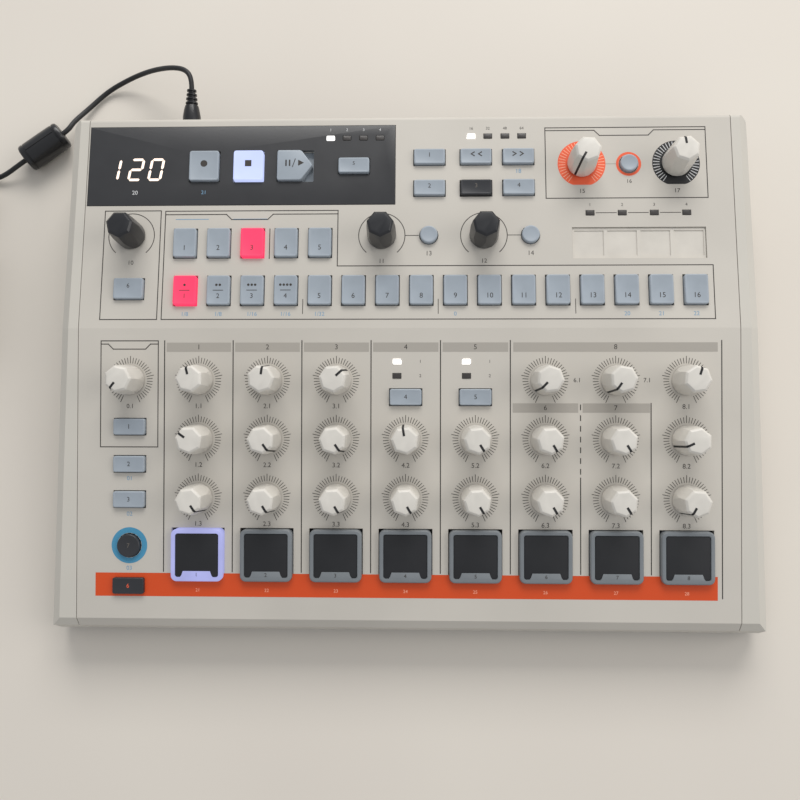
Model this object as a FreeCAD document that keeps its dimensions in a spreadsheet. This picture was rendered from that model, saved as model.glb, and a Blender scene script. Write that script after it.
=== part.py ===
"""Desktop analogue drum machine: two-plane top panel between end cheeks, on a base tray.

Millimetres, +X to the player's right, +Y to the rear, +Z up. The origin is on the table, under the
middle of the machine. Sizes are in the sheet below. Places on the panel are given as x and the
distance from the fold line, along the upper panel to the rear or the lower panel to the front.
"""
import FreeCAD, Part
import math
import os
import sys
from FreeCAD import Placement, Rotation, Vector

doc = FreeCAD.newDocument("drum_machine")
sheet = doc.addObject("Spreadsheet::Sheet", "Sizes")

# Driving dimensions: alias, value, what it is
SIZES = [
    ("lower_tilt", 8.0, "slope of the lower panel, degrees"),
    ("upper_tilt", 1.2, "slope of the upper panel, degrees"),
    ("wall_draft", 10.0, "lean of the outer walls, degrees"),
    ("foot_height", 3.0, "rubber foot under the base"),
    ("fold_height", 42.5, "fold line above the table"),
    ("lower_length", 126.0, "fold to the front edge, along the panel"),
    ("upper_length", 94.8, "fold to the rear rounding, along the panel"),
    ("edge_chamfer", 3.4, "bevel of the front and side edges"),
    ("rear_round", 1.9, "rounding of the rear edge"),
    ("corner_round", 4.0, "rounding of the rear corners"),
    ("skin", 2.5, "wall of the mouldings"),
    ("cheek_width", 14.4, "foot of an end cheek to its seam"),
    ("seam_gap", 0.3, "gap at the seams"),
    ("base_half", 157.5, "half width where the cheeks meet the base plate"),
    ("plate_inset", 0.6, "base plate set in from the cheeks"),
    ("cheek_pocket", 7.0, "depth of the hollow in a cheek"),
    ("rear_strip", 9.0, "height of the panel's own strip at the rear"),
    ("board_depth", 11.0, "panel top to the circuit board"),
    ("board_thick", 1.6, "circuit board"),
    ("column_pitch", 30.0, "between the voice columns"),
    ("row_pitch", 25.5, "between the rows of knobs"),
    ("first_row", 22.6, "fold to the first row of knobs"),
    ("pad_row", 98.2, "fold to the pads"),
    ("knob_lift", 0.8, "gap under a knob"),
    ("knob_tall", 15.2, "height of a knob"),
    ("knob_base", 6.35, "radius of a knob's round foot"),
    ("knob_top", 5.15, "flat-to-centre distance of the seven-sided top"),
    ("knob_flare", 4.6, "lean of the seven facets, degrees"),
    ("knob_bevel", 0.7, "bevel round a knob's top"),
    ("shaft_radius", 3.0, "potentiometer shaft"),
    ("shaft_deep", 9.0, "shaft below the panel's top face"),
    ("shaft_play", 0.06, "shaft to its bush"),
    ("shaft_hole", 4.2, "radius of the panel's hole for a shaft"),
    ("pot_width", 10.6, "potentiometer body"),
    ("pot_floor", 1.2, "floor of the potentiometer body"),
    ("pad_size", 22.5, "drum pad"),
    ("pad_proud", 2.6, "pad above the panel"),
    ("pad_rim", 1.7, "width of the pad's rim"),
    ("pad_dish", 0.5, "drop inside the rim"),
    ("pad_travel", 1.0, "stroke of a pad"),
    ("step_width", 10.1, "step and mode caps"),
    ("step_deep", 13.1, "length of step and mode caps"),
    ("wide_width", 13.7, "wide caps"),
    ("wide_deep", 7.0, "length of wide caps"),
    ("big_width", 13.2, "record and stop caps"),
    ("big_deep", 13.9, "length of the transport caps"),
    ("play_width", 15.8, "play cap with its point"),
    ("tap_width", 13.0, "tap cap"),
    ("tap_deep", 9.3, "length of the tap cap"),
    ("round_radius", 3.9, "round caps"),
    ("cap_proud", 1.8, "caps above the panel"),
    ("cap_bevel", 0.5, "bevel round a cap"),
    ("cap_play", 0.35, "gap round a cap"),
    ("cap_travel", 0.8, "stroke of a cap"),
    ("flange", 0.9, "flange of a cap under the panel"),
    ("step_pitch", 14.75, "between the step caps"),
    ("window_thick", 1.4, "display window"),
    ("window_sunk", 1.2, "pocket for the display window"),
    ("lens_width", 3.6, "lamp lens"),
    ("lens_deep", 2.2, "length of a lamp lens"),
    ("lens_play", 0.15, "gap round a lens"),
    ("strip_width", 57.9, "touch strip"),
    ("strip_deep", 14.0, "length of the touch strip"),
    ("strip_sunk", 1.7, "pocket of the touch strip"),
    ("strip_thick", 1.0, "touch strip plate"),
    ("foot_radius", 7.0, "rubber foot"),
    ("screw_radius", 2.9, "head of a case screw"),
    ("screw_sunk", 1.4, "counterbore for a screw head"),
    ("socket_height", 19.5, "centre of the rear sockets above the table"),
    ("socket_deep", 12.0, "socket body inside the rear wall"),
    ("cord_dia", 2.4, "supply cord"),
    ("bead_dia", 13.5, "ferrite bead"),
    ("bead_long", 22.5, "length of the ferrite bead"),
    ("coil_mid", 13.2, "middle radius of the put-away coil"),
]
for row, (alias, value, note) in enumerate(SIZES, start=1):
    sheet.set(f"A{row}", note)
    sheet.set(f"B{row}", str(value))
    sheet.setAlias(f"B{row}", alias)
doc.recompute()


def size(alias):
    return float(getattr(sheet, alias))


def bind(item, **links):
    """Ties properties of a document object to cells, such as Height to "skin * 2"."""
    for prop, expression in links.items():
        words = []
        for word in expression.split(" "):
            words.append(f"Sizes.{word}" if word[0].isalpha() else word)
        item.setExpression(prop, " ".join(words))
    return item


def degrees(alias):
    return math.radians(size(alias))


LOWER, UPPER, DRAFT = degrees("lower_tilt"), degrees("upper_tilt"), degrees("wall_draft")
PLATE_TOP = size("foot_height") + size("skin")
SEAM_HALF = size("base_half") - size("cheek_width")

# Places on the panel were measured on these lengths, and they spread with the real ones
MEASURED_SEAM, MEASURED_UPPER = 143.1, 94.8
SPREAD, STRETCH = SEAM_HALF / MEASURED_SEAM, size("upper_length") / MEASURED_UPPER

# The side profile, first with the fold line at y = 0
front_reach = size("lower_length") * math.cos(LOWER) + size("edge_chamfer")
front_edge_z = size("fold_height") - size("lower_length") * math.sin(LOWER)
bevel_z = front_edge_z - size("edge_chamfer")
front_foot = front_reach + (bevel_z - PLATE_TOP) * math.tan(DRAFT)
rear_edge_z = size("fold_height") + size("upper_length") * math.sin(UPPER)
rear_reach = size("upper_length") * math.cos(UPPER) + size("rear_round")
rear_foot = rear_reach + (rear_edge_z - size("rear_round") - PLATE_TOP) * math.tan(DRAFT)
COLLAR = 3.5  # how far the socket collars stand out of the rear wall
NECK_SIDES, JACK_NECK = 14, 4.9
socket_reach = rear_reach + (rear_edge_z - size("rear_round") - size("socket_height")) * math.tan(DRAFT)
jack_corner = JACK_NECK / math.cos(math.pi / NECK_SIDES)
rear_most = max(rear_foot, socket_reach + COLLAR * math.cos(DRAFT) + jack_corner * math.sin(DRAFT))
FOLD_Y = (front_foot - rear_most) / 2.0


def lower(along, lift=0.0):
    """A point of the side profile on the lower panel, as (y, z)."""
    y = FOLD_Y - along * math.cos(LOWER) - lift * math.sin(LOWER)
    return y, size("fold_height") - along * math.sin(LOWER) + lift * math.cos(LOWER)


def upper(along, lift=0.0):
    y = FOLD_Y + along * math.cos(UPPER) - lift * math.sin(UPPER)
    return y, size("fold_height") + along * math.sin(UPPER) + lift * math.cos(UPPER)


def front_wall(z, inside=0.0):
    return FOLD_Y - front_reach - (bevel_z - z) * math.tan(DRAFT) + inside / math.cos(DRAFT), z


def rear_wall(z, inside=0.0):
    top = rear_edge_z - size("rear_round")
    return FOLD_Y + rear_reach + (top - z) * math.tan(DRAFT) - inside / math.cos(DRAFT), z


def crossing(first, second, third, fourth):
    """Where the line through two points meets the line through two others."""
    (ay, az), (by, bz), (cy, cz), (dy, dz) = first, second, third, fourth
    split = (by - ay) * (dz - cz) - (bz - az) * (dy - cy)
    share = ((cy - ay) * (dz - cz) - (cz - az) * (dy - cy)) / split
    return ay + share * (by - ay), az + share * (bz - az)


def on_panel(side, x, along, turn=0.0, lift=0.0):
    """A Placement on the panel's top face, with its own z along the panel's normal."""
    y, z = lower(along, lift) if side == "lower" else upper(along * STRETCH, lift)
    tilt = size("lower_tilt") if side == "lower" else size("upper_tilt")
    turned = Rotation(Vector(1, 0, 0), tilt) * Rotation(Vector(0, 0, 1), turn)
    return Placement(Vector(x * SPREAD, y, z), turned)


def on_rear(x, out=0.0):
    """A Placement on the rear wall's outer face, with its own z out of the wall."""
    y, z = rear_wall(size("socket_height"))
    lean = Rotation(Vector(1, 0, 0), -90.0 + size("wall_draft"))
    place = Placement(Vector(x * SPREAD, y, z), lean)
    return place * Placement(Vector(0, 0, out), Rotation())


def outline(name, points):
    """A closed sketch in the YZ plane through points; a triple is an arc's middle and its end."""
    sketch = doc.addObject("Sketcher::SketchObject", name)
    sketch.Placement = Placement(Vector(0, 0, 0), Rotation(Vector(1, 1, 1), 120.0))
    last = points[0]
    for point in [*points[1:], points[0]]:
        start = Vector(last[0], last[1], 0)
        if len(point) == 4:
            end = Vector(point[2], point[3], 0)
            sketch.addGeometry(Part.Arc(start, Vector(point[0], point[1], 0), end), False)
            last = (point[2], point[3])
        else:
            sketch.addGeometry(Part.LineSegment(start, Vector(point[0], point[1], 0)), False)
            last = point
    return sketch


def extrude(name, sketch, start, length):
    """The sketch drawn out along +X from start."""
    solid = doc.addObject("Part::Extrusion", name)
    solid.Base = sketch
    solid.DirMode = "Custom"
    solid.Dir = Vector(1, 0, 0)
    solid.LengthFwd = length
    solid.Solid = True
    solid.Placement = Placement(Vector(start, 0, 0), Rotation())
    return solid


def block(name, width, deep, tall, place, sunk=0.0):
    """A box centred on its placement, bound to cells, standing on z = -sunk."""
    box = doc.addObject("Part::Box", name)
    bind(box, Length=width, Width=deep, Height=tall)
    doc.recompute([box])
    inner = Vector(-box.Length.Value / 2, -box.Width.Value / 2, -sunk)
    box.Placement = place * Placement(inner, Rotation())
    return box


def rod(name, sides, radius, tall, place, sunk=0.0):
    """A many-sided prism bound to cells, standing on z = -sunk."""
    prism = doc.addObject("Part::Prism", name)
    prism.Polygon = sides
    bind(prism, Circumradius=radius, Height=tall)
    prism.Placement = place * Placement(Vector(0, 0, -sunk), Rotation())
    return prism


def piece(name, shapes, place=None):
    """A finished sub-part: one node of the assembly."""
    node = doc.addObject("Part::Feature", name)
    node.Label = name
    shapes = shapes if isinstance(shapes, list) else [shapes]
    node.Shape = shapes[0] if len(shapes) == 1 else Part.makeCompound(shapes)
    if place is not None:
        node.Placement = place
    NODES.append(node)
    return node


def moved(shape, place):
    copy = shape.copy()
    copy.Placement = place * copy.Placement
    return copy


def shape_of(item):
    doc.recompute()
    return item.Shape


NODES = []

# Where the controls are: name, x, distance from the fold, and pointer angle at rest, clockwise
COLUMNS = ["kick", "snare_one", "snare_two", "tom", "cymbal", "closed_hat", "open_hat", "fm_drum"]
POINTERS = {
    "kick": (-13, -55, 146), "snare_one": (8, 145, 148), "snare_two": (47, 146, 150),
    "tom": (None, -9, 150), "cymbal": (None, 148, 150), "closed_hat": (-136, 150, 150),
    "open_hat": (-145, 148, 148), "fm_drum": (18, -115, -150),
}
ROW_NAMES = ["top", "middle", "bottom"]


def column(index):
    """Columns run from the metronome at 0 to the last voice at 8, centred on the machine."""
    return (index - 4) * size("column_pitch")


KNOBS = [("metronome_knob", "lower", column(0), size("first_row"), -142)]
for place_in_row, voice in enumerate(COLUMNS, start=1):
    for level, pointer in enumerate(POINTERS[voice]):
        if pointer is not None:
            along = size("first_row") + level * size("row_pitch")
            name = f"{voice}_{ROW_NAMES[level]}_knob"
            KNOBS.append((name, "lower", column(place_in_row), along, pointer))
KNOBS.append(("distortion_knob", "upper", 77.2, 73.8, -150))
KNOBS.append(("master_knob", "upper", 118.5, 73.8, -7))
ENCODERS = [
    ("rate_encoder_knob", "upper", -121.6, 41.7),
    ("swing_encoder_knob", "upper", -10.7, 41.4),
    ("random_encoder_knob", "upper", 34.0, 41.4),
]
PADS = [(f"{voice}_pad", column(index)) for index, voice in enumerate(COLUMNS, start=1)]

# Button caps: group, shape, x, distance from the fold
STEP_X = [-96.6 + index * size("step_pitch") for index in range(16)]
MODE_X = [-97.4 + index * 14.9 for index in range(5)]
CAPS = [("step_buttons", "upper", "step", x, 16.65) for x in STEP_X]
CAPS += [("mode_buttons", "upper", "step", x, 38.1) for x in MODE_X]
CAPS += [
    ("transport_buttons", "upper", "big", -90.1, 73.5),
    ("transport_buttons", "upper", "big", -70.3, 73.5),
    ("transport_buttons", "upper", "play", -49.5, 73.5),
    ("transport_buttons", "upper", "wide", -23.3, 73.3),
    ("utility_buttons", "upper", "wide", 10.2, 77.1),
    ("utility_buttons", "upper", "wide", 10.2, 62.8),
    ("utility_buttons", "upper", "wide", 30.7, 77.1),
    ("utility_buttons", "upper", "wide", 49.4, 77.1),
    ("utility_buttons", "upper", "wide", 30.7, 62.8),
    ("utility_buttons", "upper", "wide", 49.4, 62.9),
    ("round_buttons", "upper", "round", 9.9, 41.4),
    ("round_buttons", "upper", "round", 54.3, 41.4),
    ("round_buttons", "upper", "round", 97.8, 73.6),
    ("round_buttons", "upper", "tap", -121.5, 17.5),
    ("lower_buttons", "lower", "wide", -120.0, 42.9),
    ("lower_buttons", "lower", "wide", -120.0, 59.1),
    ("lower_buttons", "lower", "wide", -120.0, 74.4),
    ("lower_buttons", "lower", "wide", -120.0, 111.7),
    ("lower_buttons", "lower", "shift", -120.0, 94.4),
    ("lower_buttons", "lower", "wide", 0.0, 29.9),
    ("lower_buttons", "lower", "wide", 30.0, 29.9),
]
CAP_SIZES = {
    "step": ("step_width", "step_deep"), "big": ("big_width", "big_deep"),
    "play": ("play_width", "big_deep"), "wide": ("wide_width", "wide_deep"),
    "tap": ("tap_width", "tap_deep"), "round": ("round_radius", None), "shift": ("round_radius", None),
}
SHIFT_GROWS = 1.1  # the shift cap's extra radius over the round ones
LENSES = [("upper", x, 86.5) for x in (-33.9, -26.6, -19.2, -11.8)]
LENSES += [("upper", x, 87.0) for x in (28.7, 36.1, 43.7, 51.1)]
LENSES += [("upper", x, 51.3) for x in (80.4, 94.4, 108.3, 122.3)]
LENSES += [("lower", x, along) for x in (-3.8, 26.2) for along in (14.5, 20.7)]
STRIP_X, STRIP_ALONG = 101.35, 37.8
WINDOW = (-142.5, -4.8, 55.5, 92.6)

# Top panel: a folded skin with a bevelled front wall and a rounded rear edge
split_z = rear_edge_z - size("rear_strip")
skin = size("skin")
knee = size("rear_round") * (1.0 - math.sqrt(0.5))
edge_y, edge_z = upper(size("upper_length"))
arc_end = rear_wall(rear_edge_z - size("rear_round"))
arc_mid = (edge_y + size("rear_round") - knee, edge_z - knee)
front_inner = crossing(lower(0, -skin), lower(9, -skin), front_wall(9, skin), front_wall(0, skin))
fold_inner = crossing(lower(0, -skin), lower(9, -skin), upper(0, -skin), upper(9, -skin))
rear_inner = crossing(upper(0, -skin), upper(9, -skin), rear_wall(0, skin), rear_wall(9, skin))
panel_outline = outline("panel_outline", [
    front_wall(PLATE_TOP), front_wall(bevel_z), lower(size("lower_length")), lower(0), (edge_y, edge_z),
    (*arc_mid, *arc_end), rear_wall(split_z), rear_wall(split_z, skin), rear_inner, fold_inner,
    front_inner, front_wall(PLATE_TOP, skin),
])
panel_half = SEAM_HALF - size("seam_gap") / 2
panel_skin = extrude("panel_skin", panel_outline, -panel_half, 2 * panel_half)

# Holes and pockets of the panel
THROUGH = "skin * 3"
ROUND_SIDES, SHAFT_SIDES = 16, 12


def cap_hole(tag, kind, place):
    width, deep = CAP_SIZES[kind]
    if deep is None:
        grow = SHIFT_GROWS if kind == "shift" else 0.0
        hole = rod(tag, ROUND_SIDES, f"{width} + cap_play + {grow}", THROUGH, place, 2 * skin)
    else:
        hole = block(tag, f"{width} + cap_play * 2", f"{deep} + cap_play * 2", THROUGH, place, 2 * skin)
    return hole


holes = []
for number, (_, side, x, along, *_) in enumerate([*KNOBS, *ENCODERS]):
    place = on_panel(side, x, along)
    holes.append(rod(f"shaft_hole_{number}", SHAFT_SIDES, "shaft_hole", THROUGH, place, 2 * skin))
for number, (_, side, kind, x, along) in enumerate(CAPS):
    holes.append(cap_hole(f"cap_hole_{number}", kind, on_panel(side, x, along)))
for number, (_, x) in enumerate(PADS):
    place = on_panel("lower", x, size("pad_row"))
    wide = "pad_size + cap_play * 2"
    holes.append(block(f"pad_hole_{number}", wide, wide, THROUGH, place, 2 * skin))
for number, (side, x, along) in enumerate(LENSES):
    wide, deep = "lens_width + lens_play * 2", "lens_deep + lens_play * 2"
    holes.append(block(f"lens_hole_{number}", wide, deep, THROUGH, on_panel(side, x, along), 2 * skin))
hole_set = doc.addObject("Part::Compound", "panel_holes")
hole_set.Links = holes

window_left, window_right, window_front, window_rear = WINDOW
window_place = on_panel("upper", (window_left + window_right) / 2, (window_front + window_rear) / 2)
window_wide, window_deep = (window_right - window_left) * SPREAD, (window_rear - window_front) * STRETCH
pocket = doc.addObject("Part::Box", "window_pocket")
pocket.Length = window_wide
pocket.Width = window_deep
bind(pocket, Height="skin * 2")
corner = Vector(-window_wide / 2, -window_deep / 2, -size("window_sunk"))
pocket.Placement = window_place * Placement(corner, Rotation())
strip_place = on_panel("upper", STRIP_X, STRIP_ALONG)
sunk = size("strip_sunk")
strip_pocket = block("strip_pocket", "strip_width", "strip_deep", "skin * 2", strip_place, sunk)
pockets = doc.addObject("Part::Compound", "panel_pockets")
pockets.Links = [pocket, strip_pocket]

pocketed = doc.addObject("Part::Cut", "panel_pocketed")
pocketed.Base = panel_skin
pocketed.Tool = pockets
drilled = doc.addObject("Part::Cut", "panel_drilled")
drilled.Base = pocketed
drilled.Tool = hole_set

# Square bosses under the panel carry the two circuit boards
BOSS = 6.0
BOSSES = [("lower", x, along) for x in (-105.0, 105.0) for along in (12.0, 82.0)]
BOSSES += [("lower", x, 117.0) for x in (-75.0, 15.0, 105.0)]
BOSSES += [("upper", x, 28.6) for x in (-136.0, 7.0, 136.0)] + [("upper", x, 52.6) for x in (-30.0, 66.0)]
BOSSES += [("upper", x, 84.0) for x in (-104.0, -1.5, 136.0)]
boss_shapes = []
for side, x, along in BOSSES:
    length = size("board_depth") - skin + 0.5
    boss = Part.makeBox(BOSS, BOSS, length, Vector(-BOSS / 2, -BOSS / 2, -size("board_depth")))
    boss_shapes.append(moved(boss, on_panel(side, x, along)))
panel_shape = shape_of(drilled).fuse(boss_shapes).removeSplitter()
piece("top_panel", panel_shape)


# Display window: a black plate flush in its pocket, open round the transport caps
def window_plate():
    ease = 0.15
    start = Vector(-window_wide / 2 + ease, -window_deep / 2 + ease, -size("window_sunk"))
    plate = Part.makeBox(window_wide - 2 * ease, window_deep - 2 * ease, size("window_thick"), start)
    plate = moved(plate, window_place)
    cutters = [shape_of(item) for item, cap in zip(cap_holes, CAPS) if cap[0] == "transport_buttons"]
    for item, (side, x, _) in zip(lens_holes, LENSES):
        if side == "upper" and x < 0:
            cutters.append(shape_of(item))
    return plate.cut(cutters)


cap_holes = [item for item in holes if item.Name.startswith("cap_hole")]
lens_holes = [item for item in holes if item.Name.startswith("lens_hole")]
piece("display_window", window_plate())

# End cheeks: the same side profile, leaning outer walls, bevelled edges, hollow towards the inside
cheek_outline = outline("cheek_outline", [
    front_wall(PLATE_TOP), front_wall(bevel_z), lower(size("lower_length")), lower(0), (edge_y, edge_z),
    (*arc_mid, *arc_end), rear_wall(PLATE_TOP),
])
pocket_outline = outline("cheek_pocket_outline", [
    front_wall(PLATE_TOP, skin), front_inner, fold_inner, rear_inner, rear_wall(PLATE_TOP, skin),
])
cheek_start = SEAM_HALF + size("seam_gap") / 2
cheek_block = extrude("cheek_block", cheek_outline, cheek_start, size("base_half") - cheek_start)
cheek_hollow = extrude("cheek_hollow", pocket_outline, cheek_start, size("cheek_pocket"))


def leaning_cut():
    """The wedge outside the cheek's leaning outer wall."""
    top = rear_edge_z + 5.0
    lean = (top - PLATE_TOP) * math.tan(DRAFT)
    base = size("base_half")
    corners = [(base, PLATE_TOP), (base + 5, PLATE_TOP), (base + 5, top), (base - lean, top)]
    points = [Vector(x, -200, z) for x, z in [*corners, corners[0]]]
    return Part.Face(Part.makePolygon(points)).extrude(Vector(0, 400, 0))


WALL_NORMAL = Vector(math.cos(DRAFT), 0, math.sin(DRAFT))


def outside(point, along, normal):
    """A thick slab on the outer side of a plane through point."""
    across = along.cross(normal).normalize()
    corners = []
    for share, step in ((-60, -300), (60, -300), (60, 300), (-60, 300)):
        corners.append(point + across * share + along * step)
    return Part.Face(Part.makePolygon([*corners, corners[0]])).extrude(normal * 30)


def bevel_cut(first, last):
    """The space outside the bevel along the edge of a panel and the leaning wall, given in y and z."""
    ends = [Vector(size("base_half") - (z - PLATE_TOP) * math.tan(DRAFT), y, z) for y, z in (first, last)]
    along = (ends[1] - ends[0]).normalize()
    panel_line = Vector(0, last[0] - first[0], last[1] - first[1]).normalize()
    panel_normal = Vector(1, 0, 0).cross(panel_line)
    inward, down = panel_normal.cross(along).normalize(), along.cross(WALL_NORMAL).normalize()
    inward = inward if inward.x < 0 else inward * -1
    down = down if down.z < 0 else down * -1
    chord = (down - inward).normalize()
    normal = along.cross(chord).normalize()
    normal = normal if normal.x > 0 else normal * -1
    return outside(ends[0] + inward * size("edge_chamfer"), along, normal)


def corner_cuts():
    """Three facets that round the rear corner where two leaning walls meet."""
    reach = size("corner_round")
    ends = []
    for z in (0.0, rear_edge_z):
        ends.append(Vector(size("base_half") - (z - PLATE_TOP) * math.tan(DRAFT), rear_wall(z)[0], z))
    along = (ends[1] - ends[0]).normalize()
    rear_normal = Vector(0, math.cos(DRAFT), math.sin(DRAFT))
    cuts = []
    for turn in (22.5, 45.0, 67.5):
        share, rest = math.cos(math.radians(turn)), math.sin(math.radians(turn))
        normal = (WALL_NORMAL * share + rear_normal * rest).normalize()
        normal = (normal - along * normal.dot(along)).normalize()
        cuts.append(outside(ends[0] - normal * reach * (share + rest - 1), along, normal))
    return cuts


def cheek():
    solid = shape_of(cheek_block).cut(leaning_cut())
    front_bevel = bevel_cut(lower(size("lower_length")), lower(0))
    rear_bevel = bevel_cut(upper(0), upper(size("upper_length")))
    solid = solid.cut([front_bevel, rear_bevel, *corner_cuts()])
    return solid.cut(shape_of(cheek_hollow))


right_cheek = cheek()
piece("right_cheek", right_cheek)
piece("left_cheek", right_cheek.mirror(Vector(0, 0, 0), Vector(1, 0, 0)))

# Base tray: a plate under the whole machine and the rear wall with its socket holes
plate_half = size("base_half") - size("plate_inset")
front_y, rear_y = front_wall(PLATE_TOP)[0] + size("plate_inset"), rear_wall(PLATE_TOP)[0]
plate_corner = Vector(-plate_half, front_y, size("foot_height"))
plate = Part.makeBox(2 * plate_half, rear_y - front_y, skin, plate_corner)
wall_top = split_z - size("seam_gap")
wall_outline = outline("rear_wall_outline", [
    rear_wall(PLATE_TOP), rear_wall(wall_top), rear_wall(wall_top, skin), rear_wall(PLATE_TOP, skin),
])
rear_wall_solid = extrude("rear_wall_solid", wall_outline, -panel_half, 2 * panel_half)

# Rear sockets from the user's left: kind, x
SWITCH_X, INLET_X = -128.0, -104.0
SOCKETS = [
    ("inlet", INLET_X), ("usb", -80.0), ("midi", -54.0), ("midi", -28.0), ("mini", -6.0), ("mini", 7.0),
    ("mini", 26.0), ("mini", 39.0), ("mini", 52.0), ("mini", 65.0), ("mini", 78.0),
    ("jack", 101.0), ("jack", 124.0),
]
SOCKET_HOLES = {"inlet": 4.6, "midi": 8.0, "mini": 3.1, "jack": JACK_NECK + 0.1}
SOCKET_BORES = {"inlet": 2.9, "midi": 6.8, "mini": 1.85, "jack": 3.25}
BORE_DEPTHS = {"inlet": 9.5, "midi": 6.0, "mini": 14.0, "jack": 16.0}
USB_WIDE, USB_TALL, USB_WALL = 8.6, 7.8, 1.7
SWITCH_WIDE, SWITCH_TALL = 15.0, 10.0


def ring_at(radius, z, sides):
    """Corners of a regular polygon about z, its flats at the radius; one flat faces +Y."""
    reach = radius / math.cos(math.pi / sides)
    first = math.pi / 2 - math.pi / sides
    turns = [first + 2 * math.pi * index / sides for index in range(sides)]
    return [Vector(reach * math.cos(turn), reach * math.sin(turn), z) for turn in turns]


def stacked(rings):
    """A closed solid with flat faces through rings of as many corners each."""
    faces = [Part.Face(Part.makePolygon([*end, end[0]])) for end in (rings[0], rings[-1])]
    for low, high in zip(rings, rings[1:]):
        for index in range(len(low)):
            after = (index + 1) % len(low)
            corners = [low[index], low[after], high[after], high[index], low[index]]
            faces.append(Part.Face(Part.makePolygon(corners)))
    solid = Part.makeSolid(Part.makeShell(faces))
    return solid if solid.Volume > 0 else solid.reversed()


def round_solid(radius, start, length, sides=NECK_SIDES):
    """A round post as a fine prism about z, its flats touching the radius."""
    return stacked([ring_at(radius, start, sides), ring_at(radius, start + length, sides)])


def centred_box(wide, tall, start, length):
    return Part.makeBox(wide, tall, length, Vector(-wide / 2, -tall / 2, start))


wall_cuts = []
for kind, x in SOCKETS:
    if kind == "usb":
        cut = centred_box(USB_WIDE + 2 * USB_WALL, USB_TALL + 2 * USB_WALL, -2 * skin, 4 * skin)
    else:
        cut = round_solid(SOCKET_HOLES[kind], -2 * skin, 4 * skin, NECK_SIDES if kind == "jack" else 10)
    wall_cuts.append(moved(cut, on_rear(x)))
wall_cuts.append(moved(centred_box(SWITCH_WIDE, SWITCH_TALL, -2 * skin, 4 * skin), on_rear(SWITCH_X)))
SCREWS = [(x * SPREAD, y) for x in (-150.0, 150.0) for y in (-100.0, 0.0, 84.0)]
FEET = [(x * SPREAD, y) for x in (-132.0, 132.0) for y in (-96.0, 88.0)]
for x, y in SCREWS:
    head = round_solid(size("screw_radius") + 0.3, 0, size("screw_sunk"), 12)
    shank = round_solid(1.7, 0, 2 * skin, 8)
    wall_cuts.append(moved(head, Placement(Vector(x, y, size("foot_height")), Rotation())))
    wall_cuts.append(moved(shank, Placement(Vector(x, y, size("foot_height")), Rotation())))
tray = plate.fuse(shape_of(rear_wall_solid)).cut(wall_cuts)
piece("base_tray", tray.removeSplitter())


def socket(kind):
    """A socket about z: body inside the wall, collar outside it, bore from the collar's face."""
    if kind == "usb":
        body = centred_box(USB_WIDE + 2 * USB_WALL, USB_TALL + 2 * USB_WALL, -skin, skin + 0.6)
        deep = size("socket_deep")
        body = body.fuse(centred_box(USB_WIDE + 4, USB_TALL + 4, -skin - deep, deep))
        cavity = centred_box(USB_WIDE, USB_TALL, -9.0, 12.0)
        tongue = centred_box(5.6, 3.2, -9.0, 8.0)
        return body.cut(cavity).fuse(tongue).removeSplitter()
    out = 1.0 if kind in ("inlet", "midi") else COLLAR
    sides = NECK_SIDES if kind == "jack" else 10
    neck = round_solid(SOCKET_HOLES[kind] - 0.1, -skin, skin + out, sides)
    depth = BORE_DEPTHS[kind] + 1.5 - out
    shoulder = SOCKET_HOLES[kind] * 2 + 2.0
    body = centred_box(shoulder, shoulder, -depth, depth - skin)
    radius, floor, long = SOCKET_BORES[kind], out - BORE_DEPTHS[kind], BORE_DEPTHS[kind] + 1
    if kind == "jack":
        bore = Part.makeCylinder(radius, long, Vector(0, 0, floor))
    else:
        bore = round_solid(radius, floor, long, 10)
    solid = body.fuse(neck).cut(bore)
    if kind == "inlet":
        solid = solid.fuse(round_solid(0.95, out - BORE_DEPTHS[kind] - 0.5, 7.5, 6))
    if kind == "midi":
        core = round_solid(5.6, out - BORE_DEPTHS[kind] - 0.5, 5.5, 10)
        pins = []
        for angle in (0, 45, 90, 135, 180):
            x, y = 4.0 * math.cos(math.radians(angle)), 4.0 * math.sin(math.radians(angle))
            pins.append(moved(round_solid(0.8, -8.0, 12.0, 4), Placement(Vector(x, y, 0), Rotation())))
        solid = solid.fuse(core.cut(pins))
    return solid.removeSplitter()


def switch_body():
    """The housing behind the rocker, open towards it."""
    body = centred_box(SWITCH_WIDE + 1.6, SWITCH_TALL + 1.6, -skin - 11.0, 11.0)
    return body.cut(centred_box(SWITCH_WIDE - 0.4, SWITCH_TALL - 0.4, -skin - 4.5, 6.0))


sockets = [moved(socket(kind), on_rear(x)) for kind, x in SOCKETS]
piece("rear_sockets", [*sockets, moved(switch_body(), on_rear(SWITCH_X))])

# Rocker of the power switch, pressed in at one end: it turns on an axis across its short side
ROCK_TILT, ROCK_AXIS = 6.0, -1.5


def rocker():
    ease, pressed = 0.4, 1.9
    wide, tall = SWITCH_WIDE - 2 * ease - 0.8, SWITCH_TALL - 2 * ease
    half = wide / 2
    points = [(-half, -1.6), (-half, pressed), (0, 1.0), (half, pressed), (half, -1.6), (0, -4.2)]
    face = Part.Face(Part.makePolygon([Vector(x, -tall / 2, z) for x, z in [*points, points[0]]]))
    tilt = Placement(Vector(0, 0, 0), Rotation(Vector(0, 1, 0), ROCK_TILT), Vector(0, 0, ROCK_AXIS))
    return moved(face.extrude(Vector(0, tall, 0)), tilt)


piece("power_rocker", moved(rocker(), on_rear(SWITCH_X)))


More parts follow.
